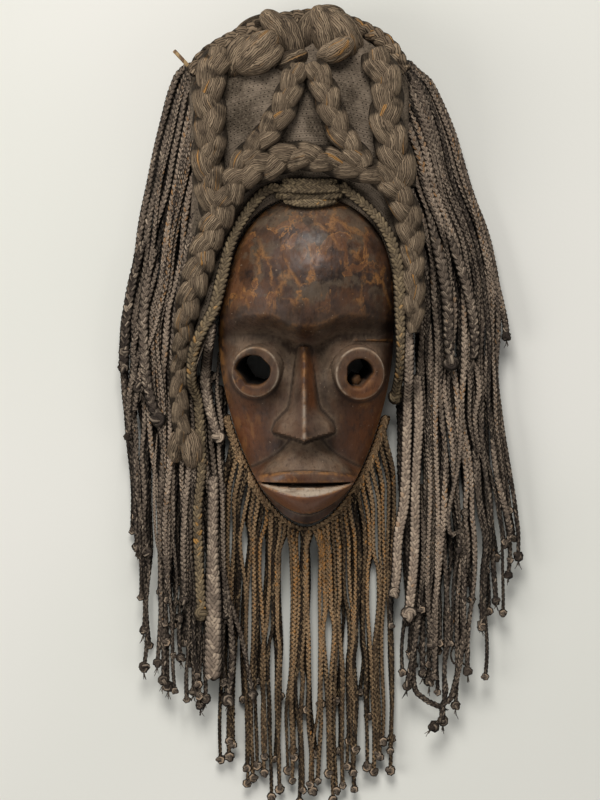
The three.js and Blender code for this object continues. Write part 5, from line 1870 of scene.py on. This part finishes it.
@dataclass
class Beard:
    """Thin braids in pairs under a cord that runs along the jaw."""

    face: CarvedFace
    spinner: Spinner
    pairs: int = 18
    left: float = -60.5
    right: float = 64.5
    lowest: float = -334.0
    cord_radius: float = 3.2
    cord_height: float = 13.0
    cord_ys: tuple[float, ...] = (-38, -58, -78, -95, -108, -117)
    front_height: float = 6.2
    under_height: float = 2.4
    # Where the ground shows: X, upper end, lower end and how far the braids keep away.
    gaps: tuple[tuple[float, float, float, float], ...] = (
        (-15, -127, -270, 3.2), (6.6, -124, -300, 4.0), (50.5, -142, -215, 2.8), (-46, -118, -170, 2.2),
        (-31.5, -120, -185, 2.4), (-7, -122, -160, 2.4), (27, -175, -240, 2.3), (-24, -200, -262, 2.4),
        (17.5, -185, -240, 2.2), (-3, -225, -285, 2.3), (41, -210, -262, 2.2),
    )
    weave: Weave = Weave(width=4.2, height=3.7, strand=1.1, period=10.2, steps=6, sides=5, yarns=3)
    under_weave: Weave = Weave(width=3.7, height=3.1, strand=0.98, period=10.4, steps=5, sides=4, yarns=3)

    def beside(self, y: float, distance: float, side: int) -> tuple[float, float]:
        """A point beside the wood's outline."""
        slope = float(self.face.outline(np.array(y + 0.5)) - self.face.outline(np.array(y - 0.5)))
        length = math.hypot(1, slope)
        reach = float(self.face.outline(np.array(y))) + distance / length
        return side * reach, y - distance * slope / length

    def jaw_cord(self) -> None:
        """The cord that the beard hangs from."""
        distance = self.cord_radius + 0.7
        left = [self.beside(y, distance, -1) for y in self.cord_ys]
        right = [self.beside(y, distance, 1) for y in self.cord_ys][::-1]
        route = [*left, (0, self.face.chin_y - distance), *right]
        points = spline([(x, y, self.cord_height) for x, y in route], 2.5)
        near_chin = bell(points[:, 0], 0, 26)
        line = Line(points, 0.7 - 0.4 * near_chin, 0, 1.05 - 0.35 * near_chin)
        weave = Weave(7.4, 6.6, 1.95, 10.5, steps=10, sides=9, yarns=7)
        made = self.spinner.sweep("jaw_cord_yarn", [line], weave, Yarn.BEARD)
        present(made, "beard_braids", "jaw_cord")

    def root_y(self, x: float) -> float:
        """Where a braid leaves the jaw cord."""
        distance = 2 * self.cord_radius + 4.5
        y = self.cord_ys[0]
        while self.beside(y, distance, 1)[0] > abs(x) and y > self.face.chin_y:
            y -= 1
        return min(max(self.beside(y, distance, 1)[1], self.face.chin_y - distance), -52)

    def parted(self, x: float, y: Array) -> Array:
        """How far a braid keeps away from the places where the ground shows through the beard."""
        moved = np.zeros(len(y))
        for gap, top, low, width in self.gaps:
            open_share = ramp(-y, -top, 14 - top) * (1 - ramp(-y, -low - 40, -low))
            moved += math.copysign(width, x - gap) * math.exp(-(((x - gap) / 6.5) ** 2)) * open_share
        return moved

    def line(self, x: float, end: float, height: float, tone: tuple[float, float]) -> Line:
        """The line of one braid, straight with a slight wander."""
        dice = self.spinner.dice
        top = self.root_y(x) + 6
        y = np.linspace(top, end, max(6, int((top - end) / 6)))
        down = (top - y) / (top - end)
        wander = np.sin(y / dice.uniform(16, 30) + dice.uniform(*PHASES)) * ramp(down, 0, 0.3)
        drift = dice.uniform(-3.6, 3.6) * ramp(down, 0.2, 0.9)
        fan = -0.11 * x * (1 - ramp(down, 0, 0.16))
        z = height + (self.cord_height - height + 1) * (1 - ramp(down, 0, 0.35)) + dice.uniform(0, 1.4)
        points = np.column_stack([x + wander + drift + fan + self.parted(x, y), y, z])
        line = spline(points, SPACING)
        share = np.linspace(0, 1, len(line))
        swell = self.spinner.uneven(len(line), 0.14, len(line) / 5)
        swell = swell * dice.uniform(0.82, 1.1) * (1 - 0.15 * share)
        dim = 1 - 0.75 * ramp(share, 0.1, 0.8)
        return Line(line, dice.uniform(*tone) * dim, dice.uniform(*PHASES), swell)

    def build(self) -> None:
        """Makes the cord and the braids."""
        self.jaw_cord()
        dice = self.spinner.dice
        step = (self.right - self.left) / (self.pairs - 1)
        for i in range(self.pairs):
            middle = self.left + step * i
            centred = (i - (self.pairs - 1) / 2) / self.pairs
            end = self.lowest + 110 * centred**2 + 9 * (1 + math.sin(2.1 * i))
            front = []
            for shift in (-0.25, 0.25):
                low = end + dice.uniform(4, 18) * (shift > 0)
                front.append(self.line(middle + shift * step, low, self.front_height, (-0.15, 1.5)))
            # Painted shade: the braid under each pair gets a darker tone.
            under = [self.line(middle, end + dice.uniform(20, 80), self.under_height, (-0.4, 0.1))]
            node = f"beard_braid_{i + 1:02d}"
            parts = [self.spinner.sweep(node, front, self.weave, Yarn.BEARD),
                     self.spinner.sweep(node + "_under", under, self.under_weave, Yarn.BEARD)]
            tips = [self.spinner.knot(line.points[-1], dice.uniform(7.5, 9.5), 0.2) for line in front + under]
            parts.append(self.spinner.knots(node + "_knots", tips, Yarn.SIDE))
            present(joined(node + "_plaits", parts), "beard_braids", node)


# The reed


def build_reed() -> None:
    """The stub of a split reed that sticks out of the cap's left edge."""
    start, end = np.array((-86.0, 222.0, 38.0)), np.array((-99.0, 236.0, 38.0))
    line = spline([start, (start + end) / 2 + (0, 0, 0.6), end], 2.0)
    tree = StrandTree(Twist.ROUND)
    weave = Weave(3, 3, 1.5, 2, steps=1, sides=10, ridges=3, ridge_depth=0.12)
    made = tree.sweep("split_reed", [Line(line)], weave, ReedFinish().make())
    present(made, "reed", "reed_stub")


# Camera, light and ground


@dataclass
class Studio:
    """A pale ground, a broad soft light from the crown's side and a camera straight above."""

    middle_x: float = -4.5
    middle_y: float = -26.25
    distance: float = 2000.0
    lens: float = 117.6
    sensor: float = 36.0
    reach: float = 1500.0
    sky: Colour = (0.95, 0.97, 1.0, 1)
    sky_strength: float = 0.22
    # Each lamp's name, place and side in metres, and power in watts. All face the frame's origin.
    lamps: tuple[tuple[str, tuple[float, float, float], float, float], ...] = (
        ("window", (-0.2, 1.9, 1.9), 1.2, 58),
        ("room_right", (1.9, -0.7, 1.6), 1.6, 7),
        ("room_left", (-2.0, -0.4, 1.4), 1.6, 28),
    )

    def camera(self) -> None:
        """The camera, which looks straight down."""
        data = bpy.data.cameras.new("overhead")
        data.sensor_fit = "VERTICAL"
        data.sensor_height = self.sensor
        data.lens = self.lens
        made = bpy.data.objects.new("overhead", data)
        made.location = placed(np.array((self.middle_x, self.middle_y, self.distance)))
        bpy.context.scene.collection.objects.link(made)
        bpy.context.scene.camera = made

    def ground(self) -> None:
        """The ground under the mask."""
        signs = ((-1, -1), (1, -1), (1, 1), (-1, 1))
        corners = np.array([(self.reach * x, self.reach * y, -GROUND_GAP) for x, y in signs])
        made = add_object("ground", corners, [(0, 1, 2, 3)])
        made.data.materials.append(GroundFinish().make())

    @staticmethod
    def lamp(name: str, place: Sequence[float], size: float, power: float) -> None:
        """One square area light."""
        data = bpy.data.lights.new(name, "AREA")
        data.size = size
        data.energy = power
        made = bpy.data.objects.new(name, data)
        made.location = place
        made.rotation_euler = (-Vector(place)).to_track_quat("-Z", "Y").to_euler()
        bpy.context.scene.collection.objects.link(made)

    def build(self) -> None:
        """Sets up the studio."""
        self.camera()
        self.ground()
        for name, place, size, power in self.lamps:
            self.lamp(name, place, size, power)
        world = bpy.data.worlds.new("room_light")
        world.use_nodes = True
        sky = world.node_tree.nodes["Background"].inputs
        sky["Color"].default_value = self.sky
        sky["Strength"].default_value = self.sky_strength
        bpy.context.scene.world = world
        bpy.context.scene.view_settings.view_transform = "Standard"


def main() -> None:
    """Builds the whole mask in order."""
    logging.basicConfig(level=logging.INFO, format="%(message)s")
    Studio().build()
    spinner = Spinner()
    carved = CarvedFace()
    face = carved.build()
    cap = KnittedCap().build()
    present(cap, "knitted_cotton", "cap")
    support = Support(face, cap)
    ThickPlaits(spinner, support).build()
    for shape in (LEFT_SIDE, RIGHT_SIDE):
        SideHair(shape, spinner, support).build()
    Beard(carved, spinner).build()
    build_reed()


if __name__ == "__main__":
    main()
